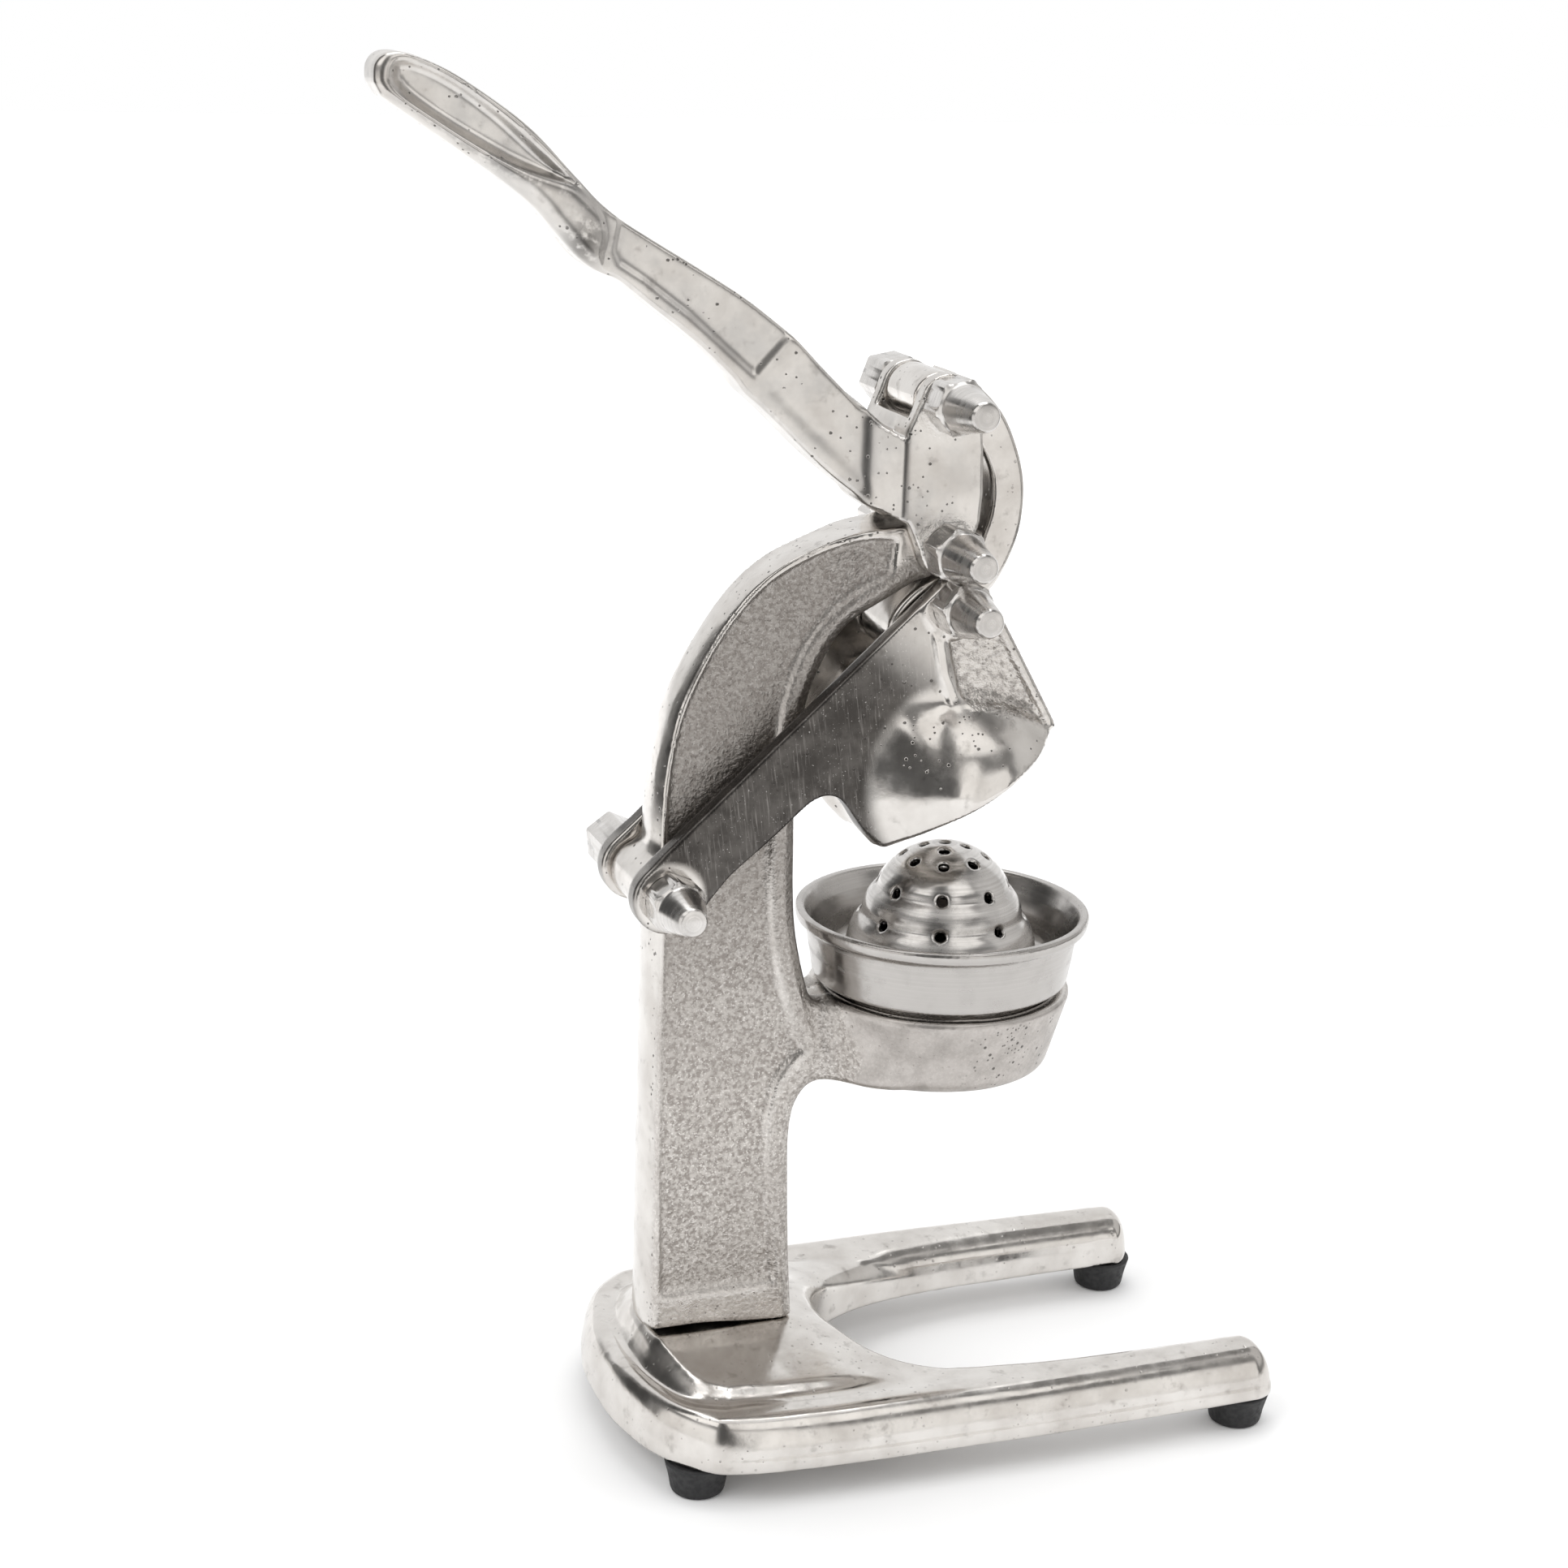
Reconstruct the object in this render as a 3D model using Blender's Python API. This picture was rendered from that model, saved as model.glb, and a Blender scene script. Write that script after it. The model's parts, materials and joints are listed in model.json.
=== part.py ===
"""Manual citrus press: cast aluminium stand, lever linkage, bell and strainer cup.

Shapes are worked out in millimetres and written to the meshes in metres.
+X points forward to the tips of the base, +Z is up, and the origin lies on the table
under the middle of the bounding box. The handle stands raised at the back, its rest pose.
"""

import math

import bmesh
import bpy
from mathutils import Matrix, Vector

MM = 0.001
GAP = 0.3  # between pieces that touch

# Pivots of the linkage, (x, z). All of them turn about the Y axis.
HANDLE_PIVOT = (31.5, 321.7)  # lever on the top of the column
LINK_PIVOT = (29.4, 371.4)  # link on the lever
HEAD_PIVOT = (34.6, 303.3)  # link on the press arm: the pivot left open, a slot
ARM_PIVOT = (-64.5, 207.2)  # press arm on the back of the column

# Half widths across the machine, along Y
COLUMN_HALF = 14.0
COLUMN_BOSS_R = 10.4  # round the press arm's pivot
LINK_HALF = 13.4
EAR_IN, EAR_OUT = 14.4, 20.8
PLATE_IN, PLATE_OUT = 15.0, 22.9
SHAFT_HALF = 9.5

# Strainer cup, its holder and the bell
CUP_X = 44.4
CUP_RIM_R, CUP_RIM_Z = 52.4, 188.5
CUP_FLOOR_Z = 167.2
CUP_FLANGE_Z = 163.0
SPIGOT_R, SPIGOT_Z = 40.8, 152.8
DOME_TOP_Z = 212.4
HOLDER_TOP_Z, HOLDER_BOTTOM_Z = 160.9, 131.5
HOLDER_TOP_R, HOLDER_BOTTOM_R = 46.8, 40.0
DRAIN_R = 12.0
STRAINER_HOLE_R = 2.0
BELL_TILT = math.radians(30.8)
BELL_RIM = (45.0, 238.3)
BELL_R, BELL_WALL, BELL_HEIGHT = 38.6, 3.2, 42.5

# Base
BASE_BOTTOM_Z, RIM_TOP_Z = 12.6, 32.6
PAD_TOP_Z = 41.2  # under the column
RECESS_DEPTH = 10.0
FEET = {"rear_right": (-58.8, -49.4), "rear_left": (-58.8, 49.4),
        "front_right": (146.0, -58.0), "front_left": (146.0, 58.0)}
FOOT_TOP_R, FOOT_BOTTOM_R = 12.2, 9.6
COLUMN_BOLTS_X = (-52.0, -27.0)

# Fasteners
BOLT_R = 5.0
BOLT_HOLE_R = 5.3
HEX_ACROSS = 17.5
SLOT_R = BOLT_R + 0.5  # half width of the slot in the link's lower eye, about the bolt's path
SLOT_WALL = 3.3

# Turns of the linkage, in degrees
HANDLE_TURN = 110.0
PRESS_RATIO = 0.2802  # press arm per handle turn
LINK_RATIO = -0.89098  # link on the lever per handle turn


# ---------------------------------------------------------------- mesh helpers

def clear_scene():
    for old in list(bpy.data.objects):
        bpy.data.objects.remove(old, do_unlink=True)


def new_object(name, bm):
    bmesh.ops.recalc_face_normals(bm, faces=bm.faces)
    bmesh.ops.scale(bm, vec=(MM, MM, MM), verts=bm.verts)
    mesh = bpy.data.meshes.new(name)
    bm.to_mesh(mesh)
    bm.free()
    obj = bpy.data.objects.new(name, mesh)
    bpy.context.scene.collection.objects.link(obj)
    return obj


def extruded(name, points, low, high, bevel=0.0, segments=1):
    """A closed solid from a 3-D outline whose points are functions of the level."""
    bm = bmesh.new()
    rings = []
    for level in (low, high):
        rings.append([bm.verts.new(place(level)) for place in points])
    count = len(points)
    for i in range(count):
        j = (i + 1) % count
        bm.faces.new((rings[0][i], rings[0][j], rings[1][j], rings[1][i]))
    caps = [bm.faces.new(rings[0]), bm.faces.new(rings[1])]
    if bevel:
        rims = [edge for cap in caps for edge in cap.edges]
        bmesh.ops.bevel(bm, geom=rims, offset=bevel, segments=segments, profile=0.5,
                        affect="EDGES", clamp_overlap=True)
    return new_object(name, bm)


def side_prism(name, outline, y_low, y_high, bevel=0.0, segments=1):
    """An (x, z) outline extruded along Y."""
    points = [lambda y, p=p: (p[0], y, p[1]) for p in outline]
    return extruded(name, points, y_low, y_high, bevel, segments)


def plan_prism(name, outline, z_low, z_high, bevel=0.0, segments=1):
    """An (x, y) outline extruded along Z."""
    points = [lambda z, p=p: (p[0], p[1], z) for p in outline]
    return extruded(name, points, z_low, z_high, bevel, segments)


def lathe(name, profile, segments=40, place=Matrix.Identity(4)):
    """A closed (radius, height) profile turned about Z, then moved by place."""
    bm = bmesh.new()
    rings = []
    for radius, height in profile:
        if radius < 1e-6:
            rings.append([bm.verts.new((0, 0, height))])
            continue
        turn = [2 * math.pi * i / segments for i in range(segments)]
        rings.append([bm.verts.new((radius * math.cos(a), radius * math.sin(a), height)) for a in turn])
    for lower, upper in zip(rings, rings[1:] + rings[:1]):
        for i in range(segments):
            j = (i + 1) % segments
            corners = [lower[i % len(lower)], lower[j % len(lower)], upper[j % len(upper)],
                       upper[i % len(upper)]]
            face = list(dict.fromkeys(corners))
            if len(face) > 2:
                bm.faces.new(face)
    bmesh.ops.transform(bm, matrix=place, verts=bm.verts)
    return new_object(name, bm)


def across(x, z):
    """Turns a lathe's Z axis to -Y and puts it on the point (x, z)."""
    return Matrix.Translation((x, 0, z)) @ Matrix.Rotation(math.radians(90), 4, "X")


def baked(obj):
    """Applies the modifiers of an object."""
    evaluated = obj.evaluated_get(bpy.context.evaluated_depsgraph_get())
    mesh = bpy.data.meshes.new_from_object(evaluated)
    obj.modifiers.clear()
    obj.data = mesh
    return obj


def boolean(target, tool, operation, solver):
    modifier = target.modifiers.new(operation, "BOOLEAN")
    modifier.operation = operation
    modifier.solver = solver
    modifier.object = tool
    baked(target)
    bpy.data.objects.remove(tool, do_unlink=True)
    return target


def add(target, tool, solver="EXACT"):
    return boolean(target, tool, "UNION", solver)


def cut(target, tool, solver="EXACT"):
    return boolean(target, tool, "DIFFERENCE", solver)


# --------------------------------------------------------------- outline helpers

def arc(centre, radius, start, end, steps=8):
    """Points on an arc, angles in degrees."""
    angles = [math.radians(start + (end - start) * i / steps) for i in range(steps + 1)]
    return [(centre[0] + radius * math.cos(a), centre[1] + radius * math.sin(a)) for a in angles]


def curve(points, steps=4):
    """An open smooth curve (Catmull-Rom) through the points."""
    ends = [points[0]] + list(points) + [points[-1]]
    out = []
    for a, b, c, d in zip(ends, ends[1:], ends[2:], ends[3:]):
        for i in range(steps):
            t = i / steps
            out.append(tuple(
                0.5 * (2 * q + (r - p) * t + (2 * p - 5 * q + 4 * r - s) * t * t
                       + (3 * q - p - 3 * r + s) * t ** 3)
                for p, q, r, s in zip(a, b, c, d)))
    return out + [tuple(points[-1])]


def inset(outline, distance):
    """The outline moved inwards along its corner normals. It runs anticlockwise."""
    count = len(outline)
    moved = []
    for i, point in enumerate(outline):
        before = Vector(point) - Vector(outline[i - 1])
        after = Vector(outline[(i + 1) % count]) - Vector(point)
        normal = Vector((-before.y, before.x)).normalized() + Vector((-after.y, after.x)).normalized()
        normal.normalize()
        moved.append((point[0] + normal.x * distance, point[1] + normal.y * distance))
    return moved


def mirrored(half):
    """Closes an (x, y) outline by repeating its half at the other side of y = 0."""
    return half + [(x, -y) for x, y in reversed(half) if abs(y) > 1e-6]


# ------------------------------------------------------------------------ base

def base_half():
    """Half of the horseshoe in plan, y >= 0, from the crotch round to the rear."""
    inner = curve([(4.0, 0.0), (6.0, 12.0), (13.0, 25.0), (27.0, 35.0), (48.0, 41.5), (80.0, 45.6),
                   (134.0, 46.4)], 2)
    tip = arc((146.7, 58.6), 12.4, -95, 80, 6)
    outer = curve([(138.0, 71.2), (60.0, 72.4), (-20.0, 71.0), (-50.0, 67.5)], 2)
    rear = curve([(-62.0, 61.0), (-73.5, 46.0), (-80.5, 22.0), (-82.0, 0.0)], 2)
    return inner + tip + outer + rear


def pad_outline():
    """The raised field that the column stands on."""
    return mirrored([(-1.0, 0.0), (-2.0, 18.0), (-6.0, 35.0), (-14.0, 45.0), (-27.0, 49.5), (-46.0, 49.5),
                     (-60.0, 42.0), (-69.0, 24.0), (-71.5, 0.0)])


def recess_outline():
    """The hollow under the base, round the heads of the column bolts."""
    return [(-8.0, -34.0), (-8.0, 34.0), (-14.0, 40.0), (-40.0, 40.0), (-66.0, 24.0), (-70.0, 12.0),
            (-70.0, -12.0), (-66.0, -24.0), (-40.0, -40.0), (-14.0, -40.0)]


def base_body():
    """The solid horseshoe: rings of its outline, moved inwards and up over the rounded rim."""
    outline = mirrored(base_half())
    skirt = [(1.6, 0.0), (0.0, 4.5)]  # (inset, height over the bottom)
    crown = [(0.6, 9.0), (2.8, 4.0), (6.0, 0.9), (9.2, 0.0)]  # (inset, depth under the top)
    bm = bmesh.new()
    rings = []
    for distance, rise in skirt:
        ring = [(x, y, BASE_BOTTOM_Z + rise) for x, y in inset(outline, distance)]
        rings.append([bm.verts.new(point) for point in ring])
    for distance, drop in crown:
        ring = [(x, y, RIM_TOP_Z - drop) for x, y in inset(outline, distance)]
        rings.append([bm.verts.new(point) for point in ring])
    count = len(outline)
    for lower, upper in zip(rings, rings[1:]):
        for i in range(count):
            j = (i + 1) % count
            bm.faces.new((lower[i], lower[j], upper[j], upper[i]))
    caps = [bm.faces.new(rings[0]), bm.faces.new(rings[-1])]
    bm.normal_update()
    bmesh.ops.triangulate(bm, faces=caps)
    return new_object("base", bm)


def build_base():
    base = base_body()
    add(base, plan_prism("pad", pad_outline(), RIM_TOP_Z - 4, PAD_TOP_Z, 2.5))
    cut(base, plan_prism("recess", recess_outline(), BASE_BOTTOM_Z - 5, BASE_BOTTOM_Z + RECESS_DEPTH))
    for x, y in FEET.values():
        cut(base, peg(x, y, 2.6, BASE_BOTTOM_Z - 1, BASE_BOTTOM_Z + 9.0, 12))
    for x in COLUMN_BOLTS_X:
        cut(base, peg(x, 0, 4.5, BASE_BOTTOM_Z, PAD_TOP_Z + 5, 16))
    return base


def peg(x, y, radius, z_low, z_high, segments=16):
    """An upright cylinder."""
    profile = [(0, z_low), (radius, z_low), (radius, z_high), (0, z_high)]
    return lathe("peg", profile, segments, Matrix.Translation((x, y, 0)))


# ---------------------------------------------------------------------- column

def column_outline():
    """The column's side view, anticlockwise from the front of its foot."""
    foot_z = PAD_TOP_Z + GAP
    low_front = curve([(-12.0, foot_z), (-14.0, 80.0), (-14.7, 104.0), (-13.4, 121.0), (-7.2, 129.6),
                       (6.0, 133.0)], 2)
    front = curve([(4.0, 157.5), (-4.0, 161.0), (-10.4, 171.0), (-13.8, 183.0), (-16.2, 200.0),
                   (-16.4, 231.9), (-13.8, 266.1), (-8.2, 281.6), (1.2, 296.4), (17.9, 306.6),
                   (28.0, 311.6)], 2)
    eye = arc(HANDLE_PIVOT, 9.2, -80, 88, 8)
    rear = curve([(30.0, 330.9), (13.8, 329.6), (-3.5, 326.4), (-26.8, 316.0), (-43.4, 300.0), (-57.0, 277.0),
                  (-63.0, 258.4), (-66.6, 235.4), (-66.4, 189.4), (-66.4, 118.0), (-66.6, foot_z)], 2)
    return low_front + front + eye + rear[1:]


def panel_outline():
    """The recessed field on each side of the column."""
    front = curve([(-19.0, 62.0), (-21.0, 96.0), (-21.6, 118.0), (-18.0, 150.0), (-22.0, 178.0),
                   (-24.2, 200.0), (-24.2, 231.0), (-21.0, 268.0), (-13.0, 288.0), (-2.0, 301.0),
                   (13.0, 311.0)], 2)
    rear = curve([(12.0, 324.0), (-2.0, 321.0), (-24.0, 311.0), (-40.0, 296.6), (-52.6, 275.0),
                  (-58.6, 257.0), (-61.4, 235.0), (-61.4, 118.0), (-60.8, 62.0)], 2)
    return front + rear


def holder_solid():
    """The tapered bowl that carries the cup, before it is hollowed: (radius, height)."""
    return [(0, HOLDER_BOTTOM_Z), (HOLDER_BOTTOM_R - 6, HOLDER_BOTTOM_Z),
            (HOLDER_BOTTOM_R - 1.2, HOLDER_BOTTOM_Z + 2.0), (HOLDER_BOTTOM_R + 0.8, HOLDER_BOTTOM_Z + 6.0),
            (HOLDER_TOP_R, HOLDER_TOP_Z - 1.5), (HOLDER_TOP_R - 1.5, HOLDER_TOP_Z), (0, HOLDER_TOP_Z)]


def holder_hollow():
    """The seat of the cup, the funnel under it and the drain."""
    seat_r = SPIGOT_R + 0.7
    seat_z = SPIGOT_Z - GAP
    return [(0, HOLDER_BOTTOM_Z - 2), (DRAIN_R, HOLDER_BOTTOM_Z - 2), (DRAIN_R, HOLDER_BOTTOM_Z + 5.0),
            (33.0, HOLDER_BOTTOM_Z + 8.0), (36.5, seat_z), (seat_r, seat_z), (seat_r, HOLDER_TOP_Z + 3),
            (0, HOLDER_TOP_Z + 3)]


def build_column():
    column = side_prism("column", column_outline(), -COLUMN_HALF, COLUMN_HALF, 1.8)
    for side in (-1, 1):
        low, high = sorted((side * (COLUMN_HALF - 2.4), side * (COLUMN_HALF + 5)))
        cut(column, side_prism("panel", panel_outline(), low, high))
    right = [(-16.0, -13.0), (2.0, -16.0), (24.0, -33.0), (40.0, -39.0)]
    arm = right + [(x, -y) for x, y in reversed(right)]
    add(column, plan_prism("arm", arm, HOLDER_BOTTOM_Z + 1.5, HOLDER_TOP_Z - 1.0, 2.5))
    add(column, side_prism("boss", arc(ARM_PIVOT, COLUMN_BOSS_R, 0, 337.5, 15), -COLUMN_HALF, COLUMN_HALF,
                           1.2))
    place = Matrix.Translation((CUP_X, 0, 0))
    add(column, lathe("holder", holder_solid(), 36, place))
    cut(column, lathe("hollow", holder_hollow(), 36, place))
    for pivot in (HANDLE_PIVOT, ARM_PIVOT):
        cut(column, pin_hole(pivot), "MANIFOLD")
    for x in COLUMN_BOLTS_X:
        cut(column, peg(x, 0, 4.4, PAD_TOP_Z - 3, PAD_TOP_Z + 24.0, 16), "MANIFOLD")
    return column


def pin_hole(pivot):
    """A cutter for a pivot bolt's hole, right through the machine."""
    profile = [(0, -30), (BOLT_HOLE_R, -30), (BOLT_HOLE_R, 30), (0, 30)]
    return lathe("pin_hole", profile, 12, across(*pivot))


# ------------------------------------------------------------------- press arm

def plate_outline():
    """One side plate of the press arm, anticlockwise."""
    tail = arc(ARM_PIVOT, 12.6, 132, 312, 10)
    lower = curve([(-43.4, 212.5), (-26.4, 227.1), (-17.0, 235.6), (-9.0, 239.2), (-2.0, 235.6),
                   (5.0, 226.5)], 2)
    skirt = [(12.0, 222.0), (60.0, 250.0), (74.4, 258.7)]
    front = [(52.5, 298.0), (47.0, 304.6)]
    eye = arc(HEAD_PIVOT, 8.6, 50, 132, 4)
    return tail + lower + skirt + front + eye


def bell_place():
    tilt = Matrix.Rotation(-BELL_TILT, 4, "Y")
    return Matrix.Translation((BELL_RIM[0], 0, BELL_RIM[1])) @ tilt


def dome_points(radius, height, steps):
    """A bell's outline from the rim to the top: an ellipse standing on a short straight skirt."""
    skirt = 0.14 * height
    points = [(radius, 0.0)]
    for i in range(steps + 1):
        angle = math.radians(90 * i / steps)
        points.append((radius * math.cos(angle), skirt + (height - skirt) * math.sin(angle)))
    points[-1] = (0.0, height)
    return points


def build_press_arm():
    outer = dome_points(BELL_R, BELL_HEIGHT, 6)
    press = lathe("press_arm", [(0, 0)] + outer, 32, bell_place())
    for side in (-1, 1):
        low, high = sorted((side * PLATE_IN, side * PLATE_OUT))
        add(press, side_prism("plate", plate_outline(), low, high, 1.8))
    inner = dome_points(BELL_R - BELL_WALL, BELL_HEIGHT - BELL_WALL - 0.5, 6)
    inner[0] = (BELL_R - BELL_WALL, -8.0)
    cut(press, lathe("cavity", [(0, -8.0)] + inner, 32, bell_place()))
    below = Matrix.Translation((0, 0, -30.0))
    cut(press, lathe("below_rim", [(0, 0), (70, 0), (70, 30), (0, 30)], 24, bell_place() @ below))
    cut(press, pin_hole(HEAD_PIVOT))
    cut(press, pin_hole(ARM_PIVOT))
    return press


# ----------------------------------------------------------------------- lever

def lever_outline():
    """Side view of the handle and shaft, anticlockwise from the tip's underside."""
    lower = curve([(-156.0, 467.5), (-147.5, 460.9), (-132.3, 451.2), (-116.8, 440.6), (-104.9, 430.4),
                   (-96.4, 420.2), (-87.4, 413.6), (-76.0, 407.0), (-54.3, 390.9), (-34.3, 372.2),
                   (-10.7, 349.6), (7.3, 336.2), (17.0, 334.0)], 2)
    upper = curve([(17.0, 358.0), (7.6, 364.5), (-9.0, 380.3), (-19.2, 390.4), (-40.9, 406.7), (-68.6, 422.9),
                   (-85.0, 433.4), (-95.8, 443.7), (-111.6, 459.2), (-132.2, 472.9), (-148.0, 479.4),
                   (-155.4, 479.6), (-159.1, 474.6)], 2)
    return lower + upper


def ear_outline():
    """One ear of the fork, anticlockwise."""
    bottom = arc(HANDLE_PIVOT, 9.4, 200, 375, 9)
    front = [(42.6, 330.5), (43.8, 340.0), (42.6, 361.0)]
    top = arc(LINK_PIVOT, 9.4, 0, 150, 9)
    rear = [(14.7, 361.5), (15.0, 335.0), (18.4, 328.9)]
    return bottom + front + top + rear


def build_lever():
    lever = side_prism("lever", lever_outline(), -SHAFT_HALF, SHAFT_HALF, 2.5)
    add(lever, side_prism("ears", ear_outline(), -EAR_OUT, EAR_OUT, 1.2))
    pocket = [(12.0, 315.0), (12.0, 332.0), (20.0, 333.5), (20.5, 357.0), (17.0, 366.5), (8.0, 370.0),
              (8.0, 400.0), (70.0, 400.0), (70.0, 300.0), (12.0, 300.0)]
    cut(lever, side_prism("pocket", list(reversed(pocket)), -EAR_IN, EAR_IN))
    cut(lever, pin_hole(HANDLE_PIVOT))
    cut(lever, pin_hole(LINK_PIVOT))
    return lever


# ------------------------------------------------------------------------ link

def turned_about(point, centre, degrees):
    """An (x, z) point turned about a pivot, positive as a hinge about +Y."""
    angle = math.radians(degrees)
    x, z = point[0] - centre[0], point[1] - centre[1]
    return (centre[0] + x * math.cos(angle) + z * math.sin(angle),
            centre[1] - x * math.sin(angle) + z * math.cos(angle))


def head_bolt_path(steps=11):
    """Where the head bolt runs in the link as the handle turns through its range."""
    path = []
    for i in range(steps + 1):
        turn = HANDLE_TURN * i / steps
        bolt = turned_about(HEAD_PIVOT, ARM_PIVOT, PRESS_RATIO * turn)
        bolt = turned_about(bolt, HANDLE_PIVOT, -turn)
        path.append(turned_about(bolt, LINK_PIVOT, -LINK_RATIO * turn))
    return path


def hull(points):
    """The convex hull of (x, z) points, anticlockwise."""
    ordered = sorted(set(points))
    chains = []
    for run in (ordered, ordered[::-1]):
        chain = []
        for point in run:
            while len(chain) > 1 and turns_right(chain[-2], chain[-1], point):
                chain.pop()
            chain.append(point)
        chains.append(chain[:-1])
    return chains[0] + chains[1]


def turns_right(a, b, c):
    return (b[0] - a[0]) * (c[1] - a[1]) - (b[1] - a[1]) * (c[0] - a[0]) <= 0.02


def swept(radius, steps=16):
    """The hull of a circle that runs along the head bolt's path."""
    return hull([point for centre in head_bolt_path() for point in arc(centre, radius, 0, 360, steps)[:-1]])


def link_outline():
    """Side view of the crescent, anticlockwise from its heel."""
    heel = arc(HEAD_PIVOT, SLOT_R + SLOT_WALL, 270, 315, 3)
    outer = curve([(46.0, 300.6), (54.0, 309.4), (60.0, 322.5), (62.0, 336.0), (60.0, 350.0), (53.8, 364.4),
                   (45.0, 374.4)], 3)
    barrel = arc(LINK_PIVOT, 9.2, 50, 300, 12)
    inner = curve([(44.4, 356.0), (49.6, 346.0), (50.2, 336.0), (47.6, 325.6), (44.6, 316.0),
                   (41.0, 309.0)], 2)
    return heel + outer + barrel + inner + arc(HEAD_PIVOT, SLOT_R + SLOT_WALL, 60, 200, 6)


def build_link():
    link = side_prism("link", link_outline(), -LINK_HALF, LINK_HALF, 1.2)
    add(link, side_prism("lobe", swept(SLOT_R + SLOT_WALL), -LINK_HALF, LINK_HALF, 1.2))
    cut(link, side_prism("slot", swept(SLOT_R), -20, 20))
    cut(link, pin_hole(LINK_PIVOT))
    return link


# ---------------------------------------------------------------- strainer cup

def dome_profile():
    """The stepped dome of the strainer from its foot to its top, (radius, height)."""
    return [(32.2, CUP_FLOOR_Z), (31.4, 175.0), (29.6, 180.6), (28.0, 182.0), (27.0, 188.0), (24.0, 194.4),
            (22.0, 196.0), (19.0, 204.0), (14.0, 209.0), (8.0, 211.6), (0.0, DOME_TOP_Z)]


def build_strainer_cup():
    wall = 3.0
    dome = dome_profile()
    outer = [(SPIGOT_R - 3.0, SPIGOT_Z), (SPIGOT_R, SPIGOT_Z), (SPIGOT_R, CUP_FLANGE_Z), (44.6, CUP_FLANGE_Z),
             (46.0, CUP_FLANGE_Z + 1.4), (48.8, CUP_RIM_Z - 5.2), (CUP_RIM_R - 0.4, CUP_RIM_Z - 4.0),
             (CUP_RIM_R, CUP_RIM_Z - 0.6), (CUP_RIM_R - 1.0, CUP_RIM_Z), (49.6, CUP_RIM_Z),
             (46.0, CUP_RIM_Z - 5.0), (42.6, CUP_FLOOR_Z + 2.0), (40.0, CUP_FLOOR_Z)]
    under = [(max(0.0, r - wall), z - wall) for r, z in reversed(dome)]
    under[-1] = (29.2, CUP_FLANGE_Z)
    place = Matrix.Translation((CUP_X, 0, 0))
    cup = lathe("strainer_cup", outer + dome + under + [(SPIGOT_R - 3.0, CUP_FLANGE_Z)], 32, place)
    for x, y in strainer_holes():
        cut(cup, peg(CUP_X + x, y, STRAINER_HOLE_R, 172.0, 220.0, 6), "MANIFOLD")
    return cup


def strainer_holes():
    """Plan positions of the drain holes: one in the middle and rings of four and eight."""
    holes = [(0.0, 0.0)]
    for radius, count, start in ((7.3, 4, 45.0), (15.0, 8, 0.0), (23.0, 8, 0.0)):
        for i in range(count):
            angle = math.radians(start + 360.0 * i / count)
            holes.append((radius * math.cos(angle), radius * math.sin(angle)))
    return holes


# ------------------------------------------------------------------- fasteners

def hexagon(name, place, low, high, across_flats=HEX_ACROSS, chamfer=1.0):
    """A hexagonal bar along the lathe axis with both ends chamfered."""
    radius = across_flats / math.sqrt(3)
    profile = [(0, low), (radius - chamfer, low), (radius, low + chamfer * 0.6),
               (radius, high - chamfer * 0.6), (radius - chamfer, high), (0, high)]
    return lathe(name, profile, 6, place)


def build_pivot_bolt(name, pivot, half_width):
    """A bolt along Y: hexagonal head on the left, shank, end inside the cap nut on the right."""
    place = across(*pivot)
    head_end = half_width + 27.0
    bolt = hexagon(name, place, -head_end, -(half_width + GAP))
    shank = [(0, -(half_width + 4)), (BOLT_R, -(half_width + 4)), (BOLT_R, half_width + 14.0),
             (BOLT_R - 1, half_width + 15.0), (0, half_width + 15.0)]
    return add(bolt, lathe("shank", shank, 12, place))


def build_cap_nut(name, pivot, half_width, end):
    """A closed nut: a hexagon, then a cone with a flat round end."""
    place = across(*pivot)
    low = half_width + GAP
    nut = hexagon(name, place, low, low + 12.5)
    cone = [(0, low + 8), (8.4, low + 8), (8.0, low + 13.5), (4.9, end - 0.8), (4.2, end), (0, end)]
    add(nut, lathe("cone", cone, 16, place))
    thread = [(0, low - 2), (BOLT_HOLE_R, low - 2), (BOLT_HOLE_R, half_width + 15.4), (0, half_width + 15.4)]
    return cut(nut, lathe("thread", thread, 12, place))


def build_foot(name, x, y):
    """A rubber foot with a recess for its screw."""
    top = BASE_BOTTOM_Z - GAP
    profile = [(4.6, 0), (FOOT_BOTTOM_R - 0.8, 0), (FOOT_BOTTOM_R, 0.9), (FOOT_TOP_R, top), (2.7, top),
               (2.7, 5.0), (4.6, 5.0)]
    return lathe(name, profile, 18, Matrix.Translation((x, y, 0)))


def build_foot_screw(name, x, y):
    """A cheese-head screw up through the foot into the base."""
    head_low, head_high = 1.6, 5.0 - GAP
    profile = [(0, head_low), (3.6, head_low), (4.2, head_low + 0.6), (4.2, head_high), (2.3, head_high),
               (2.3, BASE_BOTTOM_Z + 8.0), (0, BASE_BOTTOM_Z + 8.0)]
    return lathe(name, profile, 10, Matrix.Translation((x, y, 0)))


def build_column_bolt(name, x):
    """A hexagon bolt up through the base into the column's foot."""
    place = Matrix.Translation((x, 0, 0))
    under = BASE_BOTTOM_Z + RECESS_DEPTH - 1.6 - 2 * GAP
    bolt = hexagon(name, place, under - 5.3, under, 13.0, 0.8)
    shank = [(0, under - 1), (4.0, under - 1), (4.0, PAD_TOP_Z + 22.0), (0, PAD_TOP_Z + 22.0)]
    return add(bolt, lathe("shank", shank, 10, place))


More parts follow.
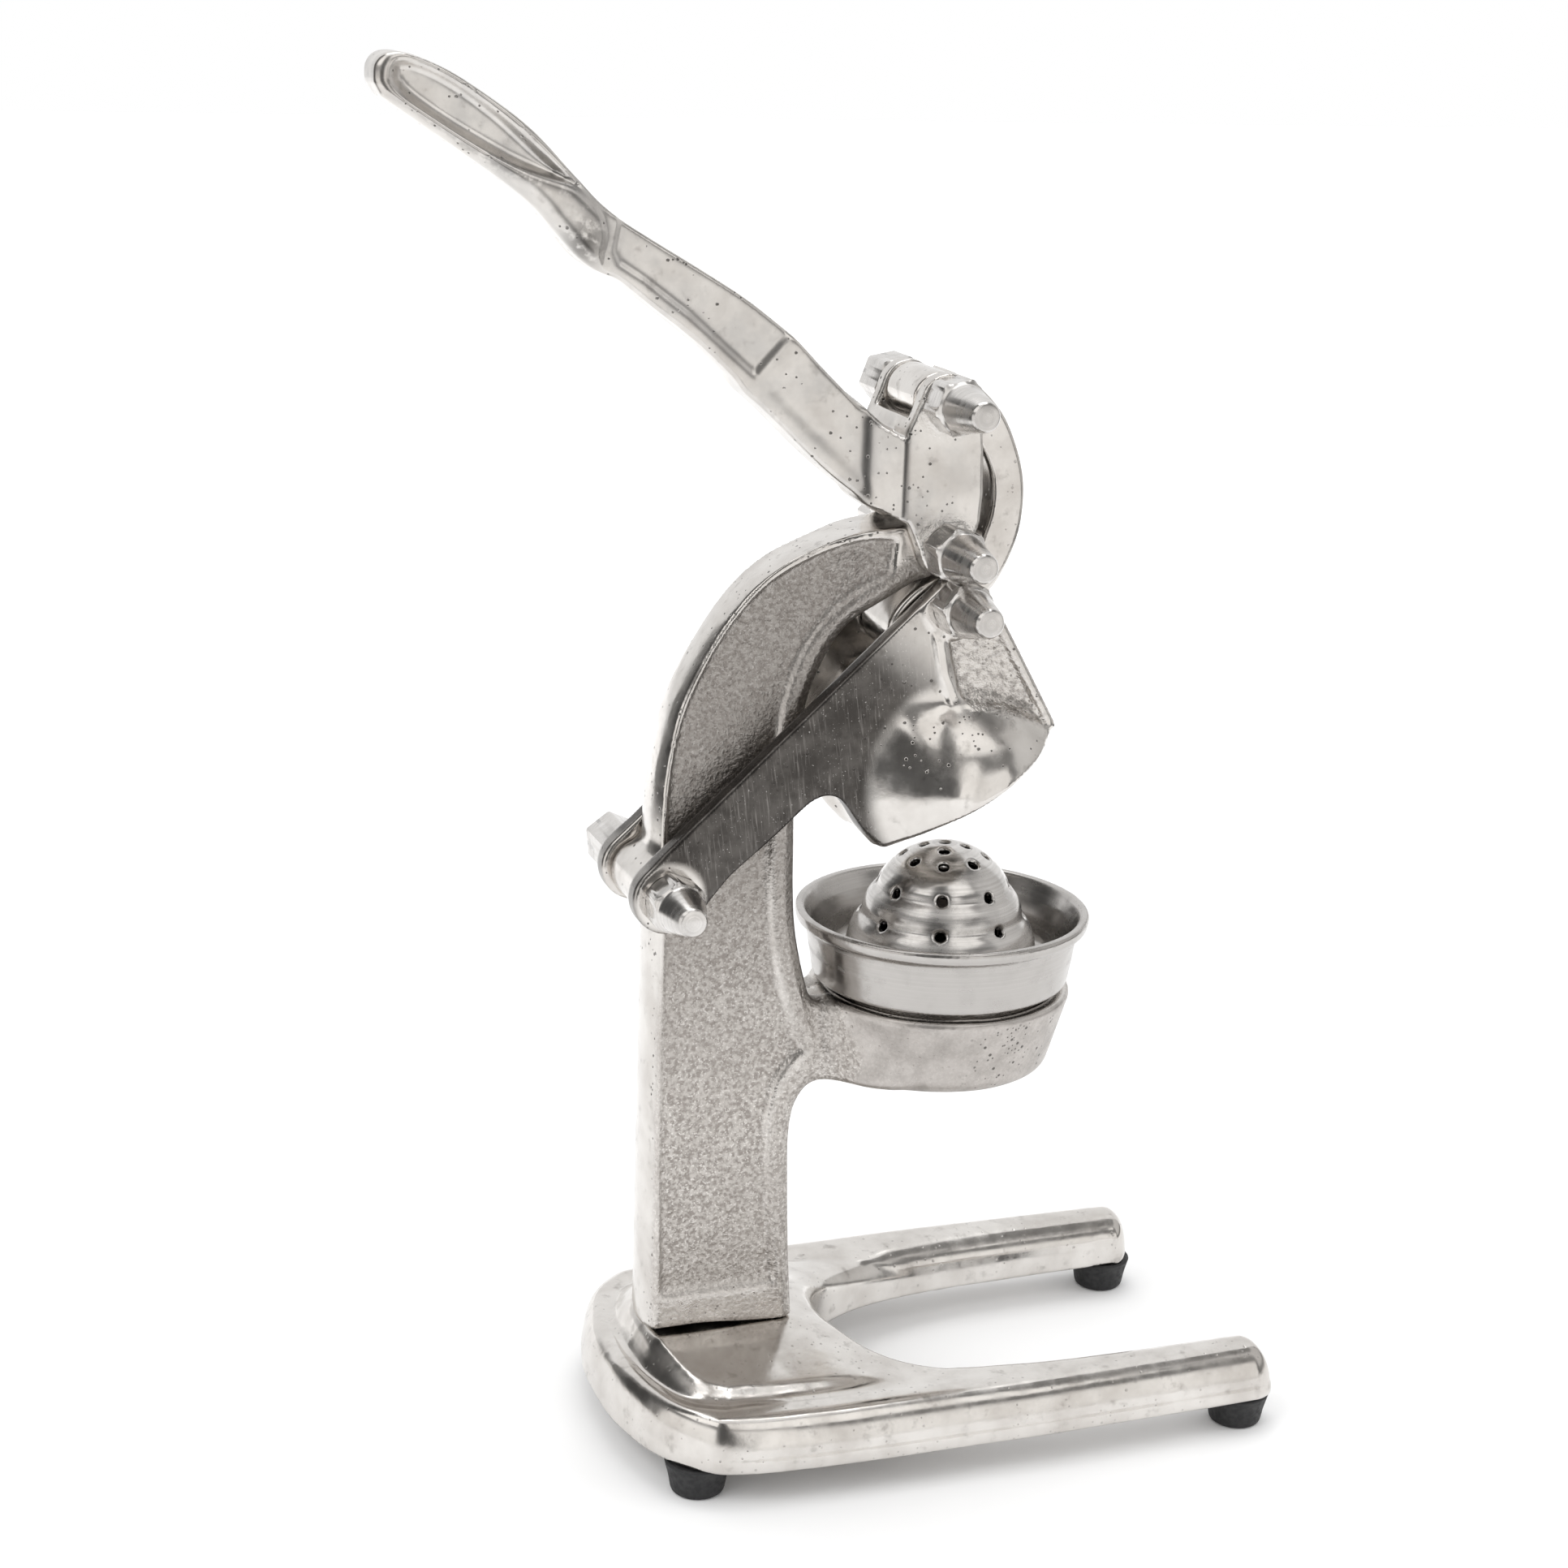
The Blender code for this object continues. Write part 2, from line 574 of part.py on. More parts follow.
def build_column_washer(name, x):
    high = BASE_BOTTOM_Z + RECESS_DEPTH - GAP
    low = high - 1.6
    return lathe(name, [(4.3, low), (8.4, low), (8.4, high), (4.3, high)], 16, Matrix.Translation((x, 0, 0)))


# -------------------------------------------------------------------- assembly

def material(name, colour, metallic, roughness):
    made = bpy.data.materials.new(name)
    made.use_nodes = True
    shader = made.node_tree.nodes["Principled BSDF"]
    shader.inputs["Base Color"].default_value = (*colour, 1.0)
    shader.inputs["Metallic"].default_value = metallic
    shader.inputs["Roughness"].default_value = roughness
    return made


def finished(obj, surface, pivot=None, parent=None):
    """Gives a piece its material, smooth shading, origin on its joint, and parent."""
    obj.data.materials.clear()
    obj.data.materials.append(surface)
    obj.data.shade_smooth()
    obj.data.set_sharp_from_angle(angle=math.radians(35))
    if pivot is not None:
        origin = Vector((pivot[0], 0, pivot[1])) * MM
        obj.data.transform(Matrix.Translation(-origin))
        obj.location = origin
    if parent is not None:
        bpy.context.view_layer.update()
        obj.parent = parent
        obj.matrix_parent_inverse = parent.matrix_world.inverted()
    return obj


def main():
    clear_scene()
    polished = material("polished_aluminium", (0.78, 0.78, 0.79), 1.0, 0.18)
    cast = material("cast_aluminium", (0.62, 0.6, 0.58), 1.0, 0.45)
    turned = material("turned_aluminium", (0.8, 0.8, 0.8), 1.0, 0.25)
    steel = material("zinc_steel", (0.62, 0.63, 0.65), 1.0, 0.3)
    rubber = material("black_rubber", (0.03, 0.03, 0.03), 0.0, 0.7)

    base = finished(build_base(), polished)
    column = finished(build_column(), cast, parent=base)
    press = finished(build_press_arm(), polished, ARM_PIVOT, column)
    lever = finished(build_lever(), polished, HANDLE_PIVOT, column)
    finished(build_link(), polished, LINK_PIVOT, lever)
    finished(build_strainer_cup(), turned, (CUP_X, CUP_FLOOR_Z), column)

    pivots = {"handle": (HANDLE_PIVOT, EAR_OUT, 52.2, column), "link": (LINK_PIVOT, EAR_OUT, 52.2, lever),
              "head": (HEAD_PIVOT, PLATE_OUT, 52.2, press), "arm": (ARM_PIVOT, PLATE_OUT, 49.0, column)}
    for label, (pivot, half_width, end, parent) in pivots.items():
        finished(build_pivot_bolt(f"{label}_pivot_bolt", pivot, half_width), turned, pivot, parent)
        finished(build_cap_nut(f"{label}_cap_nut", pivot, half_width, end), turned, pivot, parent)
    for label, (x, y) in FEET.items():
        finished(build_foot(f"foot_{label}", x, y), rubber, parent=base)
        finished(build_foot_screw(f"foot_screw_{label}", x, y), steel, parent=base)
    for label, x in zip(("rear", "front"), COLUMN_BOLTS_X):
        finished(build_column_bolt(f"column_bolt_{label}", x), steel, parent=base)
        finished(build_column_washer(f"column_washer_{label}", x), steel, parent=base)


main()
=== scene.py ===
"""Looks of a hand citrus press in cast aluminium.

The castings and the strainer cup are distance fields, meshed here: an outline in side view or
in plan gives a signed distance, which is extruded, filleted, recessed and then turned into a
mesh. Lengths are in millimetres until a mesh is made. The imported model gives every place: its
pivots, its boxes and the bodies that the pieces ride on.
"""

import json
import math

import bmesh
import bpy
import numpy as np
from mathutils import Matrix, Vector


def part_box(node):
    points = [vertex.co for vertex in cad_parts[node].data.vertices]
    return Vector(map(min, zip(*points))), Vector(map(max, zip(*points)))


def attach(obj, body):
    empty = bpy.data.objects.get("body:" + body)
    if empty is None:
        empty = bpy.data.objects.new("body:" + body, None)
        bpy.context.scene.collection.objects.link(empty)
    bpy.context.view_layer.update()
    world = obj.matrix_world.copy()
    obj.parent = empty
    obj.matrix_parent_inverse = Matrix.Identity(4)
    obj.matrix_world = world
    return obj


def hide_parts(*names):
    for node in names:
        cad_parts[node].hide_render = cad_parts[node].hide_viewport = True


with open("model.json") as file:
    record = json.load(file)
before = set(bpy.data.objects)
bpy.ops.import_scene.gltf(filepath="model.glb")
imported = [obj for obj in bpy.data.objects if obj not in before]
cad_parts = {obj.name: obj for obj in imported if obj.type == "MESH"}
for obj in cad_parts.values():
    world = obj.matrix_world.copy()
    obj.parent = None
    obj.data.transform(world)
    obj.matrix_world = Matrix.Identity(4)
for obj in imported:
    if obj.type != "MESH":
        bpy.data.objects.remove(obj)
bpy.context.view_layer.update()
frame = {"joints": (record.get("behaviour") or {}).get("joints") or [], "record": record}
MM = 0.001


# ------------------------------------------------------------ sizes from the frame

def pivot_of(joint):
    """The (x, z) of a hinge in millimetres."""
    for entry in frame["joints"]:
        if entry["name"] == joint:
            return entry["pos_m"][0] / MM, entry["pos_m"][2] / MM
    raise ValueError(joint)


def middle_of(node):
    """The centre of a node's box in millimetres."""
    low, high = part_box(node)
    return (low + high) / 2 / MM


def heights_of(node):
    """The lowest and the highest z of a node in millimetres."""
    return tuple(corner.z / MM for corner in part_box(node))


HANDLE_PIVOT = pivot_of("handle_swing")
LINK_PIVOT = pivot_of("link_swing")
ARM_PIVOT = pivot_of("press_swing")
HEAD_PIVOT = (middle_of("head_pivot_bolt").x, middle_of("head_pivot_bolt").z)
CUP_X = middle_of("strainer_cup").x
CUP_LOW_Z, CUP_HIGH_Z = heights_of("strainer_cup")
BASE_LOW_Z, BASE_HIGH_Z = heights_of("base")
COLUMN_LOW_Z = heights_of("column")[0]
TIP_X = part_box("base")[1].x / MM

# Half widths along Y
COLUMN_HALF = 14.0
LINK_HALF = 13.4
EAR_IN, EAR_OUT = 14.4, 20.8
PLATE_IN, PLATE_OUT = 15.0, 22.9
SHAFT_HALF = 9.5

BOLT_HOLE_R = 5.3
SLOT_R = 5.5
SLOT_WALL = 3.3
SLOT_TRAVEL = 110.0  # degrees of the handle that the link's slot has room for
NUT_FLAT = 8.75  # half the width of the pivots' nuts and bolt heads


# ------------------------------------------------------------------------ outlines

def arc(centre, radius, start, end, steps=24):
    """Points along an arc between two bearings in degrees."""
    angles = [math.radians(start + (end - start) * i / steps) for i in range(steps + 1)]
    return [(centre[0] + radius * math.cos(a), centre[1] + radius * math.sin(a)) for a in angles]


def curve(points, steps=10):
    """An open smooth curve (Catmull-Rom) through the points."""
    ends = [points[0]] + list(points) + [points[-1]]
    out = []
    for a, b, c, d in zip(ends, ends[1:], ends[2:], ends[3:]):
        for i in range(steps):
            t = i / steps
            out.append(tuple(
                0.5 * (2 * q + (r - p) * t + (2 * p - 5 * q + 4 * r - s) * t * t
                       + (3 * q - p - 3 * r + s) * t ** 3)
                for p, q, r, s in zip(a, b, c, d)))
    return out + [tuple(points[-1])]


def mirrored(half):
    """Closes an (x, y) outline by repeating its half at the other side of y = 0."""
    return half + [(x, -y) for x, y in reversed(half) if abs(y) > 1e-6]


# ------------------------------------------------------------------ distance fields

MARGIN = 2  # around a node's box, in millimetres
WAVES = 6  # in unevenness()


class Grid:
    """Sample points at equal steps in a node's box and a margin around it, in millimetres."""

    def __init__(self, node, cell):
        low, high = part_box(node)
        low = [v / MM - MARGIN for v in low]
        high = [v / MM + MARGIN for v in high]
        counts = [int(math.ceil((b - a) / cell)) + 1 for a, b in zip(low, high)]
        x, y, z = (a + cell * np.arange(n, dtype=np.float32) for a, n in zip(low, counts))
        self.low = np.array(low, np.float32)
        self.cell = cell
        self.shape = tuple(counts)
        self.axes = (x[:, None, None], y[None, :, None], z[None, None, :], np.abs(y)[None, :, None])


def line_distance(u, v, points, closed):
    """Distance from (u, v) to a line through the points."""
    best = np.full(np.broadcast(u, v).shape, 1e12, np.float32)
    pairs = list(zip(points, points[1:] + points[:1])) if closed else list(zip(points, points[1:]))
    for (ax, ay), (bx, by) in pairs:
        ex, ey = bx - ax, by - ay
        square = ex * ex + ey * ey
        if square < 1e-12:
            continue
        t = np.clip(((u - ax) * ex + (v - ay) * ey) / square, 0, 1)
        best = np.minimum(best, (u - ax - t * ex) ** 2 + (v - ay - t * ey) ** 2)
    return np.sqrt(best)


def region(u, v, points):
    """Signed distance to a closed outline: negative inside."""
    inside = np.zeros(np.broadcast(u, v).shape, bool)
    for (ax, ay), (bx, by) in zip(points, points[1:] + points[:1]):
        if ay == by:
            continue
        crosses = (ay > v) != (by > v)
        inside ^= crosses & (u < ax + (v - ay) * (bx - ax) / (by - ay))
    distance = line_distance(u, v, points, True)
    return np.where(inside, -distance, distance)


def tabled(u, v, points):
    """region() for full volumes: worked out on a fine (u, v) table and read from it."""
    step = 0.35
    low = np.array([float(u.min()), float(v.min())]) - step
    counts = [int((float(a.max()) - b) / step) + 3 for a, b in zip((u, v), low)]
    axes = [b + step * np.arange(n, dtype=np.float32) for b, n in zip(low, counts)]
    table = region(axes[0][:, None], axes[1][None, :], points)
    i, j = (u - low[0]) / step, (v - low[1]) / step
    a, b = np.floor(i).astype(np.int32), np.floor(j).astype(np.int32)
    i, j = i - a, j - b
    return ((table[a, b] * (1 - i) + table[a + 1, b] * i) * (1 - j)
            + (table[a, b + 1] * (1 - i) + table[a + 1, b + 1] * i) * j)


def disc(u, v, centre, radius):
    return np.sqrt((u - centre[0]) ** 2 + (v - centre[1]) ** 2) - radius


def slab(a, b, radius):
    """Where both distances are negative, with the edge between them rounded to a radius."""
    a, b = a + radius, b + radius
    outside = np.sqrt(np.maximum(a, 0) ** 2 + np.maximum(b, 0) ** 2)
    return outside + np.minimum(np.maximum(a, b), 0) - radius


def join(a, b, fillet):
    """Union, with a fillet of about that radius where the surfaces meet."""
    h = np.clip(0.5 + 0.5 * (b - a) / fillet, 0, 1)
    return b + (a - b) * h - fillet * h * (1 - h)


def meet(a, b, fillet):
    return -join(-a, -b, fillet)


def carve(a, tool, fillet):
    """A body less a tool, with a fillet at the cut's edge."""
    return meet(a, -tool, fillet)


def drilled(body, x, z, *pivots):
    """A casting with a bolt's hole at each pivot."""
    for pivot in pivots:
        body = np.maximum(body, -disc(x, z, pivot, BOLT_HOLE_R))
    return body


def ease(value, start, end):
    """0 before start, 1 after end, smooth in between."""
    t = np.clip((value - start) / (end - start), 0, 1)
    return t * t * (3 - 2 * t)


def unevenness(grid, amount, wavelength, seed):
    """Slow waves in a surface that was ground by hand."""
    rng = np.random.default_rng(seed)
    total = 0
    for _ in range(WAVES):
        direction = rng.normal(size=3)
        direction /= np.linalg.norm(direction)
        k = 2 * math.pi / (wavelength * rng.uniform(0.6, 1.6))
        phase = rng.uniform(0, 2 * math.pi)
        along = sum(part * axis for part, axis in zip(direction, grid.axes))
        total = total + np.sin(k * along + phase)
    return (amount / WAVES ** 0.5 * total).astype(np.float32)


# ------------------------------------------------------------------------- meshing

CORNERS = np.array([(i, j, k) for i in (0, 1) for j in (0, 1) for k in (0, 1)])
EDGES = [(a, b) for a in range(8) for b in range(a + 1, 8) if np.abs(CORNERS[a] - CORNERS[b]).sum() == 1]


def sampled(field, places):
    """A field's value at places given in cells, by trilinear interpolation."""
    limit = np.array(field.shape) - 1.001
    places = np.clip(places, 0, limit)
    base = np.floor(places).astype(int)
    part = places - base
    total = np.zeros(len(places))
    for corner in CORNERS:
        at = base + corner
        weight = np.prod(np.where(corner, part, 1 - part), axis=1)
        total += weight * field[at[:, 0], at[:, 1], at[:, 2]]
    return total


def slopes(field, places):
    """The field's gradient at places given in cells."""
    step = np.eye(3) * 0.6
    return np.stack([(sampled(field, places + s) - sampled(field, places - s)) / 1.2 for s in step], axis=1)


def net(field):
    """Surface nets: one vertex in each cell that the surface crosses, one quad for each crossed edge."""
    inside = field < 0
    count = np.zeros([n - 1 for n in field.shape], np.int8)
    for i, j, k in CORNERS:
        count += inside[i:i + count.shape[0], j:j + count.shape[1], k:k + count.shape[2]]
    cells = np.argwhere((count > 0) & (count < 8))
    values = np.stack([field[tuple((cells + c).T)] for c in CORNERS], axis=1)
    total = np.zeros((len(cells), 3))
    hits = np.zeros(len(cells))
    for a, b in EDGES:
        crossed = (values[:, a] < 0) != (values[:, b] < 0)
        t = values[crossed, a] / (values[crossed, a] - values[crossed, b])
        total[crossed] += CORNERS[a] + t[:, None] * (CORNERS[b] - CORNERS[a])
        hits[crossed] += 1
    places = cells + total / hits[:, None]
    index = np.full(count.shape, -1, np.int32)
    index[tuple(cells.T)] = np.arange(len(cells))
    quads = []
    for axis in range(3):
        one, two = [(1, 2), (2, 0), (0, 1)][axis]
        near = np.take(inside, range(field.shape[axis] - 1), axis)
        far = np.take(inside, range(1, field.shape[axis]), axis)
        edges = np.argwhere(near != far)
        edges = edges[(edges[:, one] > 0) & (edges[:, two] > 0)]
        ring = []
        for down_one, down_two in ((1, 1), (0, 1), (0, 0), (1, 0)):
            cell = edges.copy()
            cell[:, one] -= down_one
            cell[:, two] -= down_two
            ring.append(index[tuple(cell.T)])
        ring = np.stack(ring, axis=1)
        outward = near[tuple(edges.T)]
        quads.append(np.where(outward[:, None], ring, ring[:, ::-1]))
    return places, np.concatenate(quads)


def settled(field, places, quads, rounds=3):
    """Vertices evened out along the surface and put back onto it."""
    ends = np.concatenate([quads[:, [0, 1]], quads[:, [1, 2]], quads[:, [2, 3]], quads[:, [3, 0]]])
    ends = np.concatenate([ends, ends[:, ::-1]])
    degree = np.bincount(ends[:, 0], minlength=len(places))[:, None]
    for turn in range(rounds):
        if turn < rounds - 1:
            near = np.stack([np.bincount(ends[:, 0], places[ends[:, 1], i], len(places)) for i in range(3)],
                            1)
            places = places + 0.6 * (near / degree - places)
        for _ in range(2):
            slope = slopes(field, places)
            square = np.maximum((slope ** 2).sum(1), 0.05)
            step = sampled(field, places) / square
            places = places - slope * np.clip(step, -0.5, 0.5)[:, None]
    return places


def cast(name, grid, field, masks=None):
    """An object from a distance field, with each mask as a vertex attribute."""
    field = np.ascontiguousarray(np.broadcast_to(field, grid.shape), np.float32) / grid.cell
    places, quads = net(field)
    places = settled(field, places, quads)
    mesh = bpy.data.meshes.new(name)
    points = (grid.low + places * grid.cell) * MM
    mesh.vertices.add(len(points))
    mesh.vertices.foreach_set("co", points.astype(np.float32).ravel())
    mesh.loops.add(quads.size)
    mesh.loops.foreach_set("vertex_index", quads.astype(np.int32).ravel())
    mesh.polygons.add(len(quads))
    mesh.polygons.foreach_set("loop_start", np.arange(0, quads.size, 4, dtype=np.int32))
    mesh.update(calc_edges=True)
    mesh.validate()
    mesh.shade_smooth()
    for label, mask in (masks or {}).items():
        values = np.clip(sampled(np.broadcast_to(mask, grid.shape), places), 0, 1)
        attribute = mesh.attributes.new(label, "FLOAT", "POINT")
        attribute.data.foreach_set("value", values.astype(np.float32))
    obj = bpy.data.objects.new(name, mesh)
    bpy.context.scene.collection.objects.link(obj)
    return obj


# ------------------------------------------------------------------------ castings

TIP_R = 12.4
TIP_CENTRE = (TIP_X - TIP_R, 58.6)
GROOVE = 17.5  # from the base's edge to the groove inside the rim, along the sides
LAND_Z = 29.6  # top of the prongs inside the rim
FOOT_X, FOOT_HALF = -39, 27  # middle and half length of the column's foot on the base
HOLLOW_HIGH = 9.8


def hull_outline():
    """The base's outer edge in plan, closed straight across the mouth between the prongs."""
    outer = curve([(-82, 0), (-80.5, 22), (-73.5, 46), (-62, 61), (-50, 67.5), (-20, 71), (60, 72.4),
                   (138, 71.2)])
    return mirrored(outer + arc(TIP_CENTRE, TIP_R, 80, 0) + [(TIP_X, 0)])


def gap_outline():
    """The space between the prongs in plan, open to the front."""
    inner = curve([(4, 0), (6, 12), (13, 25), (27, 35), (48, 41.5), (80, 45.6), (134, 46.4)])
    return mirrored(inner + arc(TIP_CENTRE, TIP_R, -95, 0)
                    + [(TIP_X + 20, TIP_CENTRE[1]), (TIP_X + 20, 0)])


def rim_profile():
    """The base's rounded rim: (distance in from the edge, height), closed well below the casting."""
    low = BASE_LOW_Z
    skirt = [(0.8, low - 14), (0.8, low), (0.2, low + 0.8), (0, low + 2), (0.1, low + 4.6),
             (0.5, low + 5.6)]
    wall = curve([(0.7, low + 6.2), (1.1, low + 8.6), (2.2, low + 12), (4, low + 15.2), (6.8, low + 17.8),
                  (10.4, low + 18.9), (13.4, low + 18.5), (15.8, low + 17.4), (19, low + 16.4)])
    return skirt + wall + [(19, low - 14)]


def base_field():
    grid = Grid("base", 1)
    x, y, z, side = grid.axes
    outer = region(x, y, hull_outline()) + 0.25
    inner = -region(x, y, gap_outline())
    groove = 11 + (GROOVE - 11) * ease(x, -66, -40)
    prong = ease(x, 10, 66)
    depth = -outer * GROOVE / groove
    depth = np.minimum(depth, 12) + np.maximum(depth - 12, 0) * (1 - prong)
    rim = tabled(depth, z, rim_profile())
    near = 1 - ease(x, -12, 48)
    ramp = ease(-outer, groove - 1, groove + 7.5)
    column_away = np.hypot(np.maximum(np.abs(x - FOOT_X) - FOOT_HALF, 0), np.maximum(side - COLUMN_HALF, 0))
    groove_z = LAND_Z + 1.2 * near
    land_z = groove_z + (BASE_HIGH_Z - 0.22 * column_away - groove_z) * near * ramp
    land = meet(z - land_z, groove - 4 + outer, 3)
    body = join(rim, land, 3)
    body = slab(body, inner, 6.5 + 4.5 * prong)
    body = slab(body, BASE_LOW_Z - z, 1)
    hollow = np.maximum(region(x, y, hollow_outline()), z - BASE_LOW_Z - HOLLOW_HIGH)
    body = carve(body, hollow, 1)
    return grid, body + unevenness(grid, 0.09, 30, 3)


def hollow_outline():
    """The hollow under the column's block, in plan."""
    return mirrored([(-8, 0), (-8, 34), (-14, 40), (-40, 40), (-66, 24), (-70, 12), (-70, 0)])


ARM_OUTLINE = [(-14, 0), (-14, 11), (-6, 12.6), (0, 17.6), (6, 24.4), (14, 32.8), (24, 40.4), (36, 45.4),
               (44, 46.2), (44, 0)]
HOLDER_TOP_Z, HOLDER_LOW_Z = 160.9, 131.5
ARM_MIDDLE_Z, ARM_HALF_HEIGHT = 146.4, 14.3


def column_outline():
    foot_z = COLUMN_LOW_Z
    low_front = curve([(-12.2, foot_z), (-14, 70), (-15.2, 100), (-15.2, 113), (-13.6, 122.6),
                       (-9.6, 129.6), (-4.6, 135.2), (-2, 141.5)])
    front = curve([(-3.4, 146), (-6.6, 153), (-9.9, 165), (-13.4, 178.5), (-15.8, 194), (-16.6, 215),
                   (-16.2, 240), (-13.4, 266), (-7.8, 281.8), (1.6, 296), (17.9, 306.4), (28, 311.4)])
    eye = arc(HANDLE_PIVOT, 9.2, -80, 88)
    rear = curve([(30, 330.9), (14.6, 328.6), (-2.3, 325.2), (-25.6, 315), (-42.2, 299.4), (-56, 276.6),
                  (-62.2, 258), (-65.6, 235.4), (-66, 210), (-66, 189.4), (-66.2, 118), (-66.4, foot_z)])
    return low_front, front + eye, rear[1:]


def panel_outline():
    """The sand-cast field sunk into each side of the column."""
    front = curve([(-18.2, 53.5), (-20.4, 80), (-23.2, 113.3), (-22.8, 123), (-20, 133), (-15.6, 139.6),
                   (-11.2, 143.2), (-11.4, 146.8), (-15.2, 154), (-19.2, 166), (-22, 179), (-24, 196),
                   (-24.4, 218), (-23.4, 245), (-20.6, 266.2), (-15.6, 283), (-7, 295.6), (4, 305.6),
                   (15, 311.4)])
    rear = curve([(17, 325), (9, 326), (-3.5, 323.6), (-25.8, 313.4), (-41.6, 297.8), (-54.8, 275.6),
                  (-60.8, 257.6), (-63.8, 235), (-64.2, 210), (-64.4, 118), (-63, 53.5)])
    return front + rear


def column_field():
    grid = Grid("column", 1)
    x, y, z, side = grid.axes
    low_front, front, rear = column_outline()
    sheet = region(x, z, low_front + front + rear)
    edge = np.minimum(line_distance(x, z, low_front, False), line_distance(x, z, front[:-30], False))
    panel = -region(x, z, panel_outline())
    pivots = np.minimum(disc(x, z, ARM_PIVOT, 12), disc(x, z, HANDLE_PIVOT, 12.5))
    sunk = ease(panel, 0, 2.6) * ease(z, 53.5, 59) * ease(pivots, 0, 2.5)
    chamfer = np.maximum(0, 3.6 - edge)
    ridge = np.exp(-((edge - 4.2) / 0.8) ** 2)
    slim = 3.6 * ease(z, 190, 300) * ease(-x, -14, 10)
    half = COLUMN_HALF - 0.25 - slim - 2.2 * sunk - 0.5 * chamfer + 0.25 * ridge
    crown = 2.4 * (side / COLUMN_HALF) ** 2 * ease(-x, 20, 50)
    plate = slab(sheet + crown, side - half, 1.1)
    boss = slab(disc(x, z, ARM_PIVOT, 10.2), side - COLUMN_HALF, 1.4)
    plate = join(plate, boss, 6)
    draft = 6.2 * (HOLDER_TOP_Z - z) / (HOLDER_TOP_Z - HOLDER_LOW_Z) * ease(x, 6, 34)
    arm = slab(region(x, y, mirrored(ARM_OUTLINE)) + draft,
               np.abs(z - ARM_MIDDLE_Z) - ARM_HALF_HEIGHT, 2.5 + 3 * ease(x, 6, 34))
    radius = np.sqrt((x - CUP_X) ** 2 + y ** 2)
    holder = tabled(radius, z, holder_profile())
    body = join(join(plate, arm, 5), holder, 1.5)
    body = carve(body, tabled(radius, z, seat_profile()), 0.6)
    body = drilled(body, x, z, HANDLE_PIVOT, ARM_PIVOT)
    rough = sunk * (1 - ease(side, COLUMN_HALF + 1.5, COLUMN_HALF + 3)) * ease(side, 4, 6)
    flank = ease(side, 9, 12.5) * (1 - ease(sheet, 0.5, 2)) * 0.5 * (1 - ease(z, 150, 190))
    outside = ease(radius, 36, 38) * (1 - ease(z, 160, 161))
    holder_skin = 0.2 * outside * ease(sheet, 0.5, 3)
    pocked = ease(radius, 38, 40) * ease(x, 34, 46) * (1 - ease(x, 70, 84)) * (1 - ease(z, 156, 160))
    border = 0.9 * (1 - ease(edge, 7, 10)) * ease(side, 4, 6) * ease(z, 46, 50)
    masks = {"rough": np.maximum(np.maximum(rough, flank), np.maximum(holder_skin, border)),
             "pocked": pocked,
             "darker_outside": outside * ease(x, -4, 6)}
    return grid, body + unevenness(grid, 0.06, 26, 5), masks


def holder_profile():
    """The bowl under the cup, before it is hollowed: (radius, height)."""
    corner = arc((34.2, HOLDER_LOW_Z + 6.2), 6.2, -90, -12)
    lip = arc((44.8, HOLDER_TOP_Z - 1.9), 1.9, -10, 90)
    return [(-5, HOLDER_LOW_Z)] + corner + lip + [(-5, HOLDER_TOP_Z)]


def seat_profile():
    """The cup's seat, the funnel and the drain: (radius, height)."""
    return [(-5, HOLDER_LOW_Z - 6), (11.9, HOLDER_LOW_Z - 6), (11.9, HOLDER_LOW_Z + 5.2),
            (33, HOLDER_LOW_Z + 8.4), (36.6, CUP_LOW_Z - 0.4), (41.6, CUP_LOW_Z - 0.4),
            (41.6, HOLDER_TOP_Z + 6), (-5, HOLDER_TOP_Z + 6)]


BELL_TILT = math.radians(30.8)
BELL_RIM = (45, 238.3)
BELL_R, BELL_WALL, BELL_HEIGHT = 38.6, 3.2, 42.5


def bell_outline(inset, foot):
    """The bell, or its cavity when inset by the wall, in its own frame: (radius, height)."""
    dome = curve([(BELL_R, 2), (37.9, 8), (36, 14), (33, 20), (29.4, 25.6), (25.4, 30.4), (20.6, 34.8),
                  (14.2, 39), (7.2, 41.7), (0, BELL_HEIGHT)])
    dome = [(max(radius - inset, 0), height - 1.1 * inset) for radius, height in dome]
    return [(-5, foot), (BELL_R - inset, foot)] + dome + [(-5, BELL_HEIGHT - 1.1 * inset)]


def plate_outline():
    tail = arc(ARM_PIVOT, 12.6, 132, 312)
    lower = curve([(-43.4, 212.8), (-26.4, 227.1), (-17, 235.4), (-11, 238.6), (-5.6, 238.2), (-1.2, 234.4),
                   (5, 226.9), (12, 221.4)])
    eye = arc(HEAD_PIVOT, 8.6, 40, 132)
    return tail + lower + [(60, 250), (74.4, 258.2), (74, 260.2), (53.5, 296)] + eye


def recess_outline():
    """The rough field sunk into each plate in front of the rib."""
    top = [(30, 300), (33.4, 284), (36.6, 273), (38.6, 269)]
    shoulder = curve([(41.6, 267.4), (52, 265), (62, 261.6), (71, 258)])
    return top + shoulder + [(71.4, 260.6), (51, 295.4), (45, 303)]


